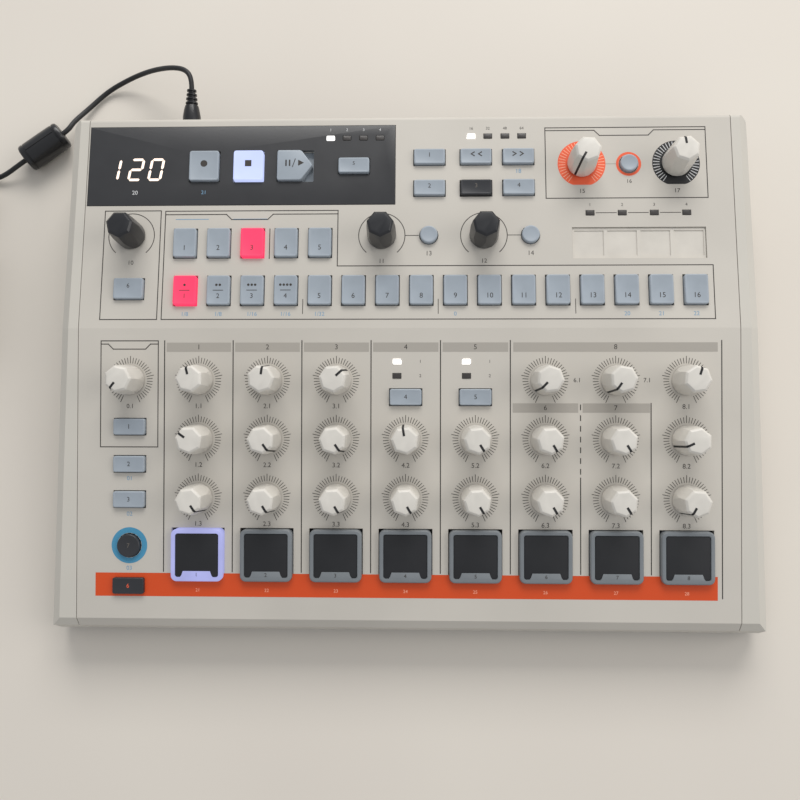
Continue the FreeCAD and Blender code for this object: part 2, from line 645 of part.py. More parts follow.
# Knob: a round foot cut by seven leaning facets, bevelled top, shaft below
def knob_shape():
    tall, lift, bevel = size("knob_tall"), size("knob_lift"), size("knob_bevel")
    top = size("knob_top")
    wide = top + (tall - bevel) * math.tan(degrees("knob_flare"))
    facets = stacked([
        ring_at(wide, lift, 7), ring_at(top, lift + tall - bevel, 7), ring_at(top - bevel, lift + tall, 7),
    ])
    foot = round_solid(size("knob_base"), lift, tall, 21)
    shaft_flat = size("shaft_radius") * math.cos(math.pi / SHAFT_SIDES)
    shaft = round_solid(shaft_flat, -size("shaft_deep"), size("shaft_deep") + lift + 1.0, SHAFT_SIDES)
    return facets.common(foot).fuse(shaft).removeSplitter()


knob = knob_shape()
for name, side, x, along, pointer in KNOBS:
    piece(name, knob.copy(), on_panel(side, x, along, -pointer))
for name, side, x, along in ENCODERS:
    piece(name, knob.copy(), on_panel(side, x, along))


# Potentiometer and encoder bodies stand on the boards under the panel
def pot_body():
    top, bottom = -skin - 0.4, -size("board_depth")
    body = centred_box(size("pot_width"), size("pot_width"), bottom, top - bottom)
    radius = size("shaft_radius") + size("shaft_play")
    bore = round_solid(radius, bottom + size("pot_floor"), size("board_depth") * 2, SHAFT_SIDES)
    return body.cut(bore)


pot = pot_body()
pots = [moved(pot, on_panel(side, x, along)) for _, side, x, along, *_rest in [*KNOBS, *ENCODERS]]
piece("control_pots", pots)

# Two circuit boards, one under each panel, held against the bosses
BOARD_MARGIN, BOARD_START = 3.6, 3.0


def board(side, front, rear):
    half = SEAM_HALF - BOARD_MARGIN
    slab = Part.makeBox(2 * half, abs(rear - front), size("board_thick"))
    inset = Placement(Vector(-half, 0, -size("board_depth") - size("board_thick")), Rotation())
    tilt = size("lower_tilt") if side == "lower" else size("upper_tilt")
    y, z = lower(front) if side == "lower" else upper(front)
    return moved(slab, Placement(Vector(0, y, z), Rotation(Vector(1, 0, 0), tilt)) * inset)


lower_board = board("lower", size("lower_length") - 4.5, BOARD_START)
upper_board = board("upper", BOARD_START, size("upper_length") - 5.8)
piece("circuit_boards", [lower_board, upper_board])


# Button caps: bevelled top, a flange under the panel and a stem to the switch on the board
def cap_shape(kind):
    width_name, deep_name = CAP_SIZES[kind]
    proud, bevel, flange = size("cap_proud"), size("cap_bevel"), size("flange")
    under = -skin - 0.3
    stem_end = -size("board_depth") + size("cap_travel") + 0.3
    if deep_name is None:
        radius = size(width_name) + (SHIFT_GROWS if kind == "shift" else 0.0)
        body = round_solid(radius, under - flange, proud - under + flange - bevel, ROUND_SIDES)
        crown = round_solid(radius - bevel / 2, proud - bevel, bevel, ROUND_SIDES)
        rim = round_solid(radius + 0.9, under - flange, flange, ROUND_SIDES)
        stem = round_solid(1.8, stem_end, under - stem_end, 8)
        return body.fuse([crown, rim, stem]).removeSplitter()
    wide, deep = size(width_name), size(deep_name)
    body = centred_box(wide, deep, under - flange, proud - under + flange)
    if kind == "play":
        half, side, neck = wide / 2, deep / 2, wide / 2 - 5.2
        points = [(-half, -side), (neck, -side), (half, 0), (neck, side), (-half, side)]
        face = Part.Face(Part.makePolygon([Vector(x, y, under - flange) for x, y in [*points, points[0]]]))
        body = face.extrude(Vector(0, 0, proud - under + flange))
    top_edges = [e for e in body.Edges if e.BoundBox.ZMin > proud - 0.01]
    body = body.makeChamfer(bevel, top_edges)
    rim = centred_box(wide + 1.8, deep + 1.8, under - flange, flange)
    stem = centred_box(3.6, 3.6, stem_end, under - stem_end)
    return body.fuse([rim, stem]).removeSplitter()


cap_shapes = {kind: cap_shape(kind) for kind in CAP_SIZES}
for group in dict.fromkeys(cap[0] for cap in CAPS):
    members = [cap for cap in CAPS if cap[0] == group]
    piece(group, [moved(cap_shapes[kind], on_panel(side, x, along)) for _, side, kind, x, along in members])


# Pads: a rubber tile with a raised rim and a tab for its name, on a plunger over its sensor
def pad_shape():
    tile, proud, rim = size("pad_size"), size("pad_proud"), size("pad_rim")
    under = -skin - 0.3
    body = centred_box(tile, tile, under - size("flange"), proud - under + size("flange"))
    top_edges = [e for e in body.Edges if e.BoundBox.ZMin > proud - 0.01]
    body = body.makeChamfer(0.6, top_edges)
    inner = tile - 2 * rim
    dish = centred_box(inner, inner, proud - size("pad_dish"), 2.0)
    tab = [(-7.6, 0), (7.6, 0), (6.2, 2.6), (-6.2, 2.6)]
    low, floor = -inner / 2, proud - size("pad_dish")
    face = Part.Face(Part.makePolygon([Vector(x, low + y, floor) for x, y in [*tab, tab[0]]]))
    dish = dish.cut(face.extrude(Vector(0, 0, 3.0)))
    flange = centred_box(tile + 2.0, tile + 2.0, under - size("flange"), size("flange"))
    stem_end = -size("board_depth") + size("pad_travel") + 0.3
    stem = centred_box(9.0, 9.0, stem_end, under - stem_end)
    return body.cut(dish).fuse([flange, stem]).removeSplitter()


pad = pad_shape()
for name, x in PADS:
    piece(name, pad.copy(), on_panel("lower", x, size("pad_row")))

# Lamp lenses are light guides standing on the boards
lens = centred_box(size("lens_width"), size("lens_deep"), -size("board_depth"), size("board_depth") + 0.25)
piece("lamp_lenses", [moved(lens, on_panel(side, x, along)) for side, x, along in LENSES])


# Touch strip: a plate in its pocket with four shallow finger hollows
def touch_strip():
    ease = 0.15
    wide, deep = size("strip_width") - 2 * ease, size("strip_deep") - 2 * ease
    plate = centred_box(wide, deep, -size("strip_sunk"), size("strip_thick"))
    hollows = []
    for index in range(4):
        x = (index - 1.5) * wide / 4
        bowl = Part.makeBox(wide / 4 - 1.6, deep - 2.4, 1.0, Vector(x - wide / 8 + 0.8, -deep / 2 + 1.2, 0))
        bowl.translate(Vector(0, 0, -size("strip_sunk") + size("strip_thick") - 0.35))
        hollows.append(bowl)
    return plate.cut(hollows)


piece("touch_strip", touch_strip(), strip_place)

# Feet and screws under the base
foot_low, foot_high = size("foot_radius") - 0.8, size("foot_height")
foot_wide = size("foot_radius")
foot = stacked([ring_at(foot_low, 0, 14), ring_at(foot_wide, 0.8, 14), ring_at(foot_wide, foot_high, 14)])
piece("rubber_feet", [moved(foot, Placement(Vector(x, y, 0), Rotation())) for x, y in FEET])


def screw():
    head = round_solid(size("screw_radius"), 0.1, size("screw_sunk") - 0.1, 10)
    head = head.cut(round_solid(1.0, 0, 0.8, 6))
    return head.fuse(round_solid(1.45, size("screw_sunk"), 1.0, 6)).removeSplitter()


screw_places = [Placement(Vector(x, y, size("foot_height")), Rotation()) for x, y in SCREWS]
piece("case_screws", [moved(screw(), place) for place in screw_places])

# Supply cord: plug in the inlet, free lead on the table, ferrite bead, coil and wall adapter
PLUG_LONG, PLUG_TAIL = 13.0, 8.0


def plug():
    """About z, z = 0 on the inlet's collar: barrel, moulded body and a ribbed tail."""
    barrel = round_solid(2.7, -8.0, 8.0, 12).cut(round_solid(1.25, -8.5, 8.0, 8))
    body = stacked([ring_at(4.4, 0, 16), ring_at(4.2, 8.0, 16), ring_at(3.3, PLUG_LONG, 16)])
    rings, start = [], PLUG_LONG
    for index in range(3):
        wide = 2.7 - 0.22 * index
        rings.append(round_solid(wide, start + 0.9, 1.6, 12))
        start += PLUG_TAIL / 3
    core = round_solid(1.7, PLUG_LONG - 1.0, PLUG_TAIL + 1.0, 12)
    return barrel.fuse([body, core, *rings]).removeSplitter()


plug_place = on_rear(INLET_X, 1.0)
piece("dc_plug", plug(), plug_place)
plug_end = plug_place.multVec(Vector(0, 0, PLUG_LONG + PLUG_TAIL))
plug_out = plug_place.Rotation.multVec(Vector(0, 0, 1))

ON_TABLE = size("cord_dia") / 2 + 0.1
aside = Vector(plug_place.Base.x - INLET_X, 0, 0)
BEAD_START, BEAD_END = Vector(-172.7, 121.5, 6.85) + aside, Vector(-190.7, 108.0, 6.85) + aside
COIL_CENTRE = Vector(-226.5, 84.0, 0) + aside
coil_outer = size("coil_mid") + 3.1
SECTION, ARC_STEPS = 6, 2  # sides of the cord's section, and runs in each of the lead's bends


def bent_line(points):
    """Spots and headings along straight runs joined by tangent arcs, as large as the runs allow."""
    spots, radii = [(points[0], (points[1] - points[0]).normalize())], []
    for before, corner, after in zip(points, points[1:], points[2:]):
        reach = 0.45 * min((corner - before).Length, (after - corner).Length)
        into, out = (corner - before).normalize(), (after - corner).normalize()
        half = into.getAngle(out) / 2
        radius = reach / math.tan(half)
        middle = corner + (out - into).normalize() * (radius / math.cos(half) - radius)
        arc = Part.Arc(corner - into * reach, middle, corner + out * reach).toShape()
        for step in range(ARC_STEPS + 1):
            at = arc.FirstParameter + (arc.LastParameter - arc.FirstParameter) * step / ARC_STEPS
            spots.append((arc.valueAt(at), arc.tangentAt(at)))
        radii.append(round(radius, 1))
    spots.append((points[-1], (points[-1] - points[-2]).normalize()))
    print("cord bends, mm:", radii)
    return spots


def section_at(spot, heading):
    """Corners of a six-sided section of the round cord's area, square to its heading."""
    area_share = SECTION * math.sin(2 * math.pi / SECTION) / (2 * math.pi)
    reach = size("cord_dia") / 2 / math.sqrt(area_share)
    across = heading.cross(Vector(0, 0, 1)).normalize()
    rise = across.cross(heading)
    corners = []
    for index in range(SECTION):
        angle = 2 * math.pi * index / SECTION + math.pi / SECTION
        corners.append(spot + across * (reach * math.cos(angle)) + rise * (reach * math.sin(angle)))
    return corners


def cord(spots):
    """One unbroken tube with flat facets through a section at each spot."""
    rings = [section_at(spot, heading) for spot, heading in spots]
    faces = [Part.Face(Part.makePolygon([*end, end[0]])) for end in (rings[0], rings[-1])]
    for low, high in zip(rings, rings[1:]):
        for index in range(SECTION):
            after = (index + 1) % SECTION
            for corners in ((low[index], low[after], high[after]), (low[index], high[after], high[index])):
                faces.append(Part.Face(Part.makePolygon([*corners, corners[0]])))
    solid = Part.makeSolid(Part.makeShell(faces))
    length = sum((there - here).Length for (here, _), (there, _) in zip(spots, spots[1:]))
    print(f"cord of {length:.1f} mm")
    return solid if solid.Volume > 0 else solid.reversed()


bead_line = Vector(BEAD_END - BEAD_START).normalize()
ROUTE = [
    Vector(-114.4, 148.3, 21.4), Vector(-124.4, 151.0, 15.2), Vector(-133.5, 152.2, 9.4),
    Vector(-143.0, 151.3, 4.6), Vector(-153.8, 147.0, ON_TABLE + 0.3), Vector(-163.0, 136.9, 2.4),
    Vector(-168.8, 128.4, 5.6),
]
LEAD_POINTS = [
    plug_end, plug_end + plug_out * 5.5, plug_end + plug_out * 10.2 + Vector(-3.2, 0, -0.9),
    *[spot + aside for spot in ROUTE], BEAD_START - bead_line * 2.5, BEAD_END + bead_line * 3.0,
    Vector(-202.5, 101.2, 3.6) + aside, Vector(-210.0, 99.9, ON_TABLE + 0.2) + aside,
    Vector(-218.5, 100.7, ON_TABLE) + aside, COIL_CENTRE + Vector(0, coil_outer, ON_TABLE),
]
piece("dc_lead", cord(bent_line(LEAD_POINTS)))


def bead():
    long, radius = size("bead_long"), size("bead_dia") / 2
    ease = 0.9
    shell = stacked([
        ring_at(radius - ease, 0, 18), ring_at(radius, ease, 18),
        ring_at(radius, long - ease, 18), ring_at(radius - ease, long, 18),
    ])
    return shell.cut(round_solid(size("cord_dia") / 2 + 0.25, -1, long + 2, 10))


bead_turn = Rotation(Vector(0, 0, 1), bead_line)
piece("ferrite_bead", bead(), Placement(BEAD_START, bead_turn))


# The coil: three columns of turns, up, down and up, and a last quarter out to the adapter
TURNS_EACH, TURN_RISE, COLUMN_STEP = 3.0, 3.25, 3.1
SHIFT = 0.5


def coil_point(turns):
    """The cord's middle line after so many turns, from where the lead reaches the coil."""
    column = min(int(turns / (TURNS_EACH + SHIFT)), 2)
    inside = turns - column * (TURNS_EACH + SHIFT)
    climbed = min(inside, TURNS_EACH) * TURN_RISE
    height = climbed if column != 1 else TURNS_EACH * TURN_RISE - climbed
    radius = size("coil_mid") + (1 - column) * COLUMN_STEP
    if inside > TURNS_EACH and column < 2:
        radius -= COLUMN_STEP * (1 - math.cos(math.pi * (inside - TURNS_EACH) / SHIFT)) / 2
    if inside > TURNS_EACH and column == 2:
        height += TURN_RISE * (1 - math.cos(math.pi * (inside - TURNS_EACH) / LAST)) / 2
    angle = math.pi / 2 + 2 * math.pi * turns
    return COIL_CENTRE + Vector(radius * math.cos(angle), radius * math.sin(angle), ON_TABLE + height)


LAST = 0.25
COIL_TURNS = 3 * TURNS_EACH + 2 * SHIFT + LAST


def coil_heading(turns):
    step = 0.001
    return (coil_point(min(turns + step, COIL_TURNS)) - coil_point(max(turns - step, 0))).normalize()


FACETS = 16  # runs in a turn
GLAND_OUT = 6.0  # length of the adapter's strain relief
ADAPTER_WIDE, ADAPTER_LONG, ADAPTER_TALL = 38.0, 60.0, 27.0
ADAPTER_CORNER = Vector(-246.0, 2.0, 0.0) + aside


def least_gap(steps=32):
    """The smallest clear space between stretches of the coil's cord over a third of a turn apart."""
    points = [coil_point(index / steps) for index in range(int(COIL_TURNS * steps) + 1)]
    gaps = [9.0]
    for index, point in enumerate(points):
        gaps += [(point - other).Length for other in points[index + steps // 3:]]
    return min(gaps) - size("cord_dia")


print(f"coil: {COIL_TURNS:.2f} turns, least gap {least_gap():.2f} mm")
coil_spots = []
for index in range(round(COIL_TURNS * FACETS) + 1):
    coil_spots.append((coil_point(index / FACETS), coil_heading(index / FACETS)))
coil_end = coil_point(COIL_TURNS)
gland_end = Vector(coil_end.x, ADAPTER_CORNER.y + ADAPTER_LONG + GLAND_OUT, coil_end.z)
piece("lead_coil", cord([*coil_spots, (gland_end, Vector(0, -1, 0))]))

# Wall adapter: a plug-in supply lying on its back face beside the coil
ADAPTER_EDGE = 3.0


def adapter_ring(along, inset):
    """Corners of the adapter's outline, its four long edges cut off."""
    wide, tall = ADAPTER_WIDE / 2 - inset, ADAPTER_TALL / 2 - inset
    middle = ADAPTER_CORNER + Vector(ADAPTER_WIDE / 2, along, ADAPTER_TALL / 2)
    corners = []
    for across, up in ((1, 1), (-1, 1), (-1, -1), (1, -1)):
        ends = [(wide - ADAPTER_EDGE, tall), (wide, tall - ADAPTER_EDGE)]
        if across * up > 0:
            ends.reverse()
        corners += [middle + Vector(across * x, 0, up * z) for x, z in ends]
    return corners


def adapter():
    bevel = ADAPTER_EDGE / 2
    body = stacked([
        adapter_ring(0, bevel), adapter_ring(bevel, 0),
        adapter_ring(ADAPTER_LONG - bevel, 0), adapter_ring(ADAPTER_LONG, bevel),
    ])
    middle = ADAPTER_CORNER + Vector(ADAPTER_WIDE / 2, 0, ADAPTER_TALL / 2)
    pins = []
    for x in (-9.5, 9.5):
        pin = stacked([ring_at(2.0, 0, 10), ring_at(2.0, 16.5, 10), ring_at(1.3, 18.0, 10)])
        pins.append(moved(pin, Placement(middle + Vector(x, 0.5, 0), Rotation(Vector(1, 0, 0), 90.0))))
    gland = stacked([ring_at(3.4, 0, 12), ring_at(3.4, 1.5, 12), ring_at(2.1, GLAND_OUT + 1.0, 12)])
    rooted = Placement(gland_end - Vector(0, GLAND_OUT + 1.0, 0), Rotation(Vector(1, 0, 0), -90.0))
    return body.fuse([*pins, moved(gland, rooted)]).removeSplitter()


piece("wall_adapter", adapter())

doc.recompute()
broken = [item.Name for item in doc.Objects if "Invalid" in item.State or "Error" in item.State]
for node in NODES:
    if node.Shape.isNull() or not node.Shape.isValid() or node.Shape.Volume <= 0:
        broken.append(node.Label)
if broken:
    print("not sound:", broken)
    sys.exit(1)
os.makedirs("parts", exist_ok=True)
for node in NODES:
    node.Shape.exportStep(f"parts/{node.Label}.step")
print(len(NODES), "nodes, fold line at y", round(FOLD_Y, 3))
box = Part.makeCompound([n.Shape for n in NODES[:NODES.index(doc.dc_plug)]]).BoundBox
print("machine", [round(v, 2) for v in (box.XMin, box.XMax, box.YMin, box.YMax, box.ZMin, box.ZMax)])
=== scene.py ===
# %% [markdown]
# A desktop drum machine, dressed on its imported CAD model. The panel, the cheeks and the base stay as the
# CAD made them and get paint and plastic. The knobs, caps, pads, window, print, lamps and cord are built
# here in the same frame. Sizes are written in millimetres and turned into metres by one factor.

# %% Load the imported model
import math
import bpy
from mathutils import Euler, Matrix, Vector


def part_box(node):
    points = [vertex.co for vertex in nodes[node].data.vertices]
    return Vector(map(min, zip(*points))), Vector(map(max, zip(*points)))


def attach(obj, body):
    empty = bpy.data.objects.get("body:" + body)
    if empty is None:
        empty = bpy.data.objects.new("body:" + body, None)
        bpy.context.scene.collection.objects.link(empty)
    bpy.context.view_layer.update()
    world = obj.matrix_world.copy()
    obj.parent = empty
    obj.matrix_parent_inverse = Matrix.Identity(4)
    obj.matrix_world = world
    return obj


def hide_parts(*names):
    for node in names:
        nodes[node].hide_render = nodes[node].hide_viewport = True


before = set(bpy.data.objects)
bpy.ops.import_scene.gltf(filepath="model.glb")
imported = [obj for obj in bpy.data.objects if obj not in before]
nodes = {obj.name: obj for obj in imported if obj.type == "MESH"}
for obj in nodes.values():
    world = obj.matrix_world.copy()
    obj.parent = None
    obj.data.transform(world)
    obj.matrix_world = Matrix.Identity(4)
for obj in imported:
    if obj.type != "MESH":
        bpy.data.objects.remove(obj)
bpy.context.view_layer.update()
MM = 0.001

# %% [markdown]
# The top is one sheet with a fold across it. Behind the fold it rises a little to the rear, and in front of
# the fold it falls to the player. Every control is placed by its x and by how far it is from the fold, so a
# small function that returns a matrix does the same work here as in the CAD.

# %% Places on the two panels
LOWER_TILT, UPPER_TILT, WALL_DRAFT = 8.0, 1.2, 10.0
LOWER_LENGTH, UPPER_LENGTH, REAR_ROUND = 126.0, 94.8, 1.9
FOLD_Z, SOCKET_Z = 42.5, 19.5


def fold_place():
    """Where the fold is: the front foot of the panel is its lowest, front-most corner."""
    low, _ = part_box("top_panel")
    reach = LOWER_LENGTH * math.cos(math.radians(LOWER_TILT)) + 3.4
    bevel = FOLD_Z - LOWER_LENGTH * math.sin(math.radians(LOWER_TILT)) - 3.4
    return low[1] / MM + reach + (bevel - low[2] / MM) * math.tan(math.radians(WALL_DRAFT))


FOLD_Y = fold_place()
print("fold line at y", round(FOLD_Y, 2), "mm")


def on_panel(side, x, along, turn=0.0, lift=0.0):
    """The place of a point on a panel's face, with z along the panel's normal; the turn is in degrees."""
    tilt = math.radians(LOWER_TILT if side == "lower" else UPPER_TILT)
    run = -along if side == "lower" else along
    y = FOLD_Y + run * math.cos(tilt) - lift * math.sin(tilt)
    z = FOLD_Z + run * math.sin(tilt) + lift * math.cos(tilt)
    spot = Matrix.Translation(Vector((x, y, z)) * MM)
    return spot @ Matrix.Rotation(tilt, 4, "X") @ Matrix.Rotation(math.radians(turn), 4, "Z")


def on_rear(x, out=0.0):
    """The place of a socket on the leaning rear wall, with z out of the wall."""
    draft = math.radians(WALL_DRAFT)
    top = FOLD_Z + UPPER_LENGTH * math.sin(math.radians(UPPER_TILT)) - REAR_ROUND
    reach = UPPER_LENGTH * math.cos(math.radians(UPPER_TILT)) + REAR_ROUND
    y = FOLD_Y + reach + (top - SOCKET_Z) * math.tan(draft)
    spot = Matrix.Translation(Vector((x, y, SOCKET_Z)) * MM) @ Matrix.Rotation(draft - math.pi / 2, 4, "X")
    return spot @ Matrix.Translation((0, 0, out * MM))


# %% [markdown]
# Small tools for selecting a piece, picking parts of its mesh in edit mode, applying modifiers, smoothing,
# moving, copying, joining and removing pieces; newest names the object that a primitive has just added.

# %% Small tools for modelling
def deselect():
    bpy.ops.object.select_all(action="DESELECT")


def newest(name):
    piece = bpy.context.active_object
    piece.name = piece.data.name = name
    return piece


def edit(piece, mode):
    """Goes into edit mode on one piece with vertices, edges or faces to select."""
    deselect()
    piece.select_set(True)
    bpy.context.view_layer.objects.active = piece
    bpy.ops.object.mode_set(mode="EDIT")
    bpy.ops.mesh.select_mode(type=mode)
    bpy.ops.mesh.select_all(action="DESELECT")
    bpy.ops.object.mode_set(mode="OBJECT")


def pick(piece, kind, test):
    """Selects the faces, edges or vertices of a piece in edit mode that pass a test."""
    edit(piece, kind)
    mesh = piece.data
    group = {"VERT": mesh.vertices, "EDGE": mesh.edges, "FACE": mesh.polygons}[kind]
    for item in group:
        if kind == "EDGE":
            ends = [mesh.vertices[i].co for i in item.vertices]
            item.select = test(ends[0], ends[1])
        elif kind == "FACE":
            item.select = test(item.center, item.normal)
        else:
            item.select = test(item.co)
    bpy.ops.object.mode_set(mode="EDIT")


def done():
    bpy.ops.object.mode_set(mode="OBJECT")


def modify(piece, kind, **settings):
    """Adds a modifier with its settings and applies it."""
    deselect()
    piece.select_set(True)
    bpy.context.view_layer.objects.active = piece
    modifier = piece.modifiers.new(kind.title(), kind)
    for key, value in settings.items():
        setattr(modifier, key, value)
    bpy.ops.object.modifier_apply(modifier=modifier.name)
    return piece


def smooth(piece, angle=32.0):
    deselect()
    piece.select_set(True)
    bpy.context.view_layer.objects.active = piece
    bpy.ops.object.shade_smooth_by_angle(angle=math.radians(angle))
    return piece


def settle(piece, place):
    """Moves the place into the mesh, so that the object itself stays at the origin."""
    piece.data.transform(place @ piece.matrix_basis)
    piece.matrix_basis = Matrix.Identity(4)
    return piece


def copy_to(piece, name, place):
    """A copy with its own mesh, set at a place."""
    twin = bpy.data.objects.new(name, piece.data.copy())
    bpy.context.scene.collection.objects.link(twin)
    twin.data.transform(place)
    return twin


def join(pieces, name):
    deselect()
    for piece in pieces:
        piece.select_set(True)
    bpy.context.view_layer.objects.active = pieces[0]
    if len(pieces) > 1:
        bpy.ops.object.join()
    return newest(name)


def discard(*pieces):
    for piece in pieces:
        bpy.data.objects.remove(piece)


# %% [markdown]
# Shader maths reads best as an expression. Value wraps a socket, so that 1 - mask or speck * 0.3 adds the
# Math nodes by itself. Finish starts a material and hands out its nodes.

# %% Materials as expressions
class Value:
    """A number socket of a shader that can be used in a sum."""

    def __init__(self, finish, socket):
        self.finish, self.socket = finish, socket

    def combine(self, operation, first, second):
        return self.finish.node("Math", {"operation": operation}, first, second)

    def __add__(self, other):
        return self.combine("ADD", self, other)

    def __radd__(self, other):
        return self.combine("ADD", other, self)

    def __sub__(self, other):
        return self.combine("SUBTRACT", self, other)

    def __rsub__(self, other):
        return self.combine("SUBTRACT", other, self)

    def __mul__(self, other):
        return self.combine("MULTIPLY", self, other)

    def __rmul__(self, other):
        return self.combine("MULTIPLY", other, self)

    def kept(self):
        return self.finish.node("Clamp", {}, self)


class Finish:
    """One material: a Principled shader and the nodes that vary it."""

    def __init__(self, name, color, roughness=0.5, **settings):
        self.material = bpy.data.materials.new(name)
        self.material.use_nodes = True
        self.tree = self.material.node_tree
        self.shader = self.tree.nodes["Principled BSDF"]
        self.color = self.rgb(color)
        self.shader.inputs["Base Color"].default_value = self.color
        self.shader.inputs["Roughness"].default_value = roughness
        for key, value in settings.items():
            self.shader.inputs[key.replace("_", " ")].default_value = value
        self.here = self.tree.nodes.new("ShaderNodeTexCoord").outputs["Object"]

    def rgb(self, color):
        """An 8-bit sRGB colour as the linear values that a shader takes."""
        linear = []
        for part in color:
            share = part / 255
            linear.append(share / 12.92 if share <= 0.04045 else ((share + 0.055) / 1.055) ** 2.4)
        return (*linear, 1.0)

    def link(self, value, socket):
        if isinstance(value, Value):
            value = value.socket
        if isinstance(value, bpy.types.NodeSocket):
            self.tree.links.new(value, socket)
        else:
            socket.default_value = value

    def node(self, kind, settings, *values, **named):
        """A node of a kind with its settings; its values go in by order, or by socket name."""
        new = self.tree.nodes.new("ShaderNode" + kind)
        for key, value in settings.items():
            setattr(new, key, value)
        for socket, value in zip(new.inputs, values):
            self.link(value, socket)
        for key, value in named.items():
            self.link(value, new.inputs[key])
        return Value(self, new.outputs[0])

    def noise(self, size_mm, detail=2.0, rough=0.5, stretch=(1, 1, 1)):
        """A soft random value whose patches are about so many millimetres across."""
        scaled = self.node("Mapping", {}, Vector=self.here, Scale=[s / (size_mm * MM) for s in stretch])
        return self.node("TexNoise", {}, Vector=scaled, Scale=1.0, Detail=detail, Roughness=rough)

    def mix(self, share, first, second):
        """A colour between two colours."""
        mixer = self.tree.nodes.new("ShaderNodeMix")
        mixer.data_type = "RGBA"
        self.link(share, mixer.inputs["Factor"])
        self.link(first, mixer.inputs[6])
        self.link(second, mixer.inputs[7])
        return Value(self, mixer.outputs[2])

    def paint(self, value):
        self.link(value, self.shader.inputs["Base Color"])

    def roughen(self, value):
        self.link(value, self.shader.inputs["Roughness"])

    def bump(self, height, depth_mm, strength=1.0):
        bump = self.tree.nodes.new("ShaderNodeBump")
        bump.inputs["Strength"].default_value = strength
        bump.inputs["Distance"].default_value = depth_mm * MM
        self.link(height, bump.inputs["Height"])
        self.tree.links.new(bump.outputs["Normal"], self.shader.inputs["Normal"])


# %% [markdown]
# Powder paint has a fine orange-peel skin, and its tone drifts slightly across a large sheet. Handling leaves
# patches that are a little smoother. The same recipe with other sizes gives moulded plastic.

# %% Paint and plastic
def powder_paint(name, color, drift=0.035):
    finish = Finish(name, color, 0.55)
    cloud, skin = finish.noise(70, 3), finish.noise(0.55, 2)
    darker = [part * (1 - 2.2 * drift) for part in color]
    finish.paint(finish.mix((cloud * 1.6 - 0.3).kept(), finish.rgb(darker), finish.color))
    finish.roughen(0.5 + 0.12 * cloud + 0.05 * skin)
    finish.bump(skin, 0.012, 0.5)
    return finish.material


def moulded(name, color, roughness=0.42, grain=0.35, coat=0.0):
    finish = Finish(name, color, roughness, Coat_Weight=coat, Coat_Roughness=0.2)
    cloud, skin = finish.noise(9, 3), finish.noise(grain, 2)
    darker = [part * 0.94 for part in color]
    finish.paint(finish.mix((cloud * 1.8 - 0.4).kept(), finish.rgb(darker), finish.color))
    finish.roughen(roughness - 0.04 + 0.1 * cloud)
    finish.bump(skin, 0.008, 0.4)
    return finish.material


def rubbery(name, color, roughness=0.62):
    finish = Finish(name, color, roughness, Sheen_Weight=0.08)
    grain, dust = finish.noise(0.3, 2), finish.noise(14, 4, 0.6)
    paler = [part * 0.8 + 26 for part in color]
    finish.paint(finish.mix((dust * 0.7 - 0.28).kept(), finish.color, finish.rgb(paler)))
    finish.roughen(roughness + 0.12 * dust - 0.05)
    finish.bump(grain, 0.02, 0.5)
    return finish.material


def metal(name, color, roughness=0.35):
    finish = Finish(name, color, roughness, Metallic=1.0)
    scratch = finish.noise(0.8, 3, 0.6, (1, 0.08, 1))
    finish.paint(finish.mix(scratch, finish.rgb([part * 0.86 for part in color]), finish.color))
    finish.roughen(roughness + 0.16 * scratch - 0.08)
    finish.bump(scratch, 0.004, 0.4)
    return finish.material


def glowing(name, color, strength=1.0, rim=0.8):
    """A back-lit cap: it gives its own light, a little uneven where the lamp sits behind it."""
    finish = Finish(name, [part * 0.5 for part in color], 0.45)
    cloud = finish.noise(11, 2)
    dimmer = [part * rim for part in color]
    glow = finish.mix((cloud * 2.0 - 0.5).kept(), finish.rgb(dimmer), finish.rgb(color))
    finish.link(glow, finish.shader.inputs["Emission Color"])
    finish.shader.inputs["Emission Strength"].default_value = strength
    return finish.material


def ink(name, color, roughness=0.6):
    finish = Finish(name, color, roughness)
    speck = finish.noise(0.5, 3, 0.7)
    paler = [part * 0.88 + 22 for part in color]
    finish.paint(finish.mix((speck * 1.2 - 0.45).kept(), finish.color, finish.rgb(paler)))
    finish.bump(speck, 0.004, 0.3)
    return finish.material


panel_paint = powder_paint("panel_paint", (206, 200, 190))
cheek_plastic = powder_paint("cheek_plastic", (205, 200, 190), 0.02)
base_paint = powder_paint("base_paint", (38, 38, 40))
strip_plastic = moulded("strip_plastic", (213, 207, 197), 0.5, 0.5)
white_plastic = moulded("white_knob_plastic", (224, 219, 210), 0.34, 0.25, 0.15)
black_plastic = moulded("black_knob_plastic", (26, 27, 31), 0.34, 0.25, 0.2)
cap_plastic = moulded("cap_plastic", (163, 172, 181), 0.4, 0.3, 0.1)
dark_cap_plastic = moulded("dark_cap_plastic", (44, 45, 49), 0.38, 0.3, 0.1)
rim_plastic = moulded("pad_rim_plastic", (126, 131, 135), 0.42, 0.3)
pad_rubber = rubbery("pad_rubber", (20, 21, 25), 0.55)
window_plastic = moulded("window_plastic", (52, 52, 54), 0.36, 0.25, 0.1)
socket_plastic = moulded("socket_plastic", (22, 22, 24), 0.4)
socket_metal = metal("socket_metal", (196, 196, 200), 0.3)
pot_metal = metal("pot_metal", (150, 152, 156), 0.4)
board_green = moulded("board_green", (24, 70, 44), 0.4, 0.6)
foot_rubber = rubbery("foot_rubber", (24, 24, 25))
screw_metal = metal("screw_metal", (90, 90, 94), 0.38)
cord_rubber = rubbery("cord_rubber", (20, 20, 22), 0.5)
bead_plastic = moulded("bead_plastic", (19, 19, 22), 0.32, 0.4, 0.2)
dark_lens = moulded("dark_lens", (62, 58, 56), 0.3)
lit_lens = glowing("lit_lens", (255, 253, 250), 1.6, 0.97)
pink_glow = glowing("pink_glow", (255, 62, 104), 1.0, 0.93)
blue_glow = glowing("blue_glow", (196, 208, 255), 1.0, 0.95)
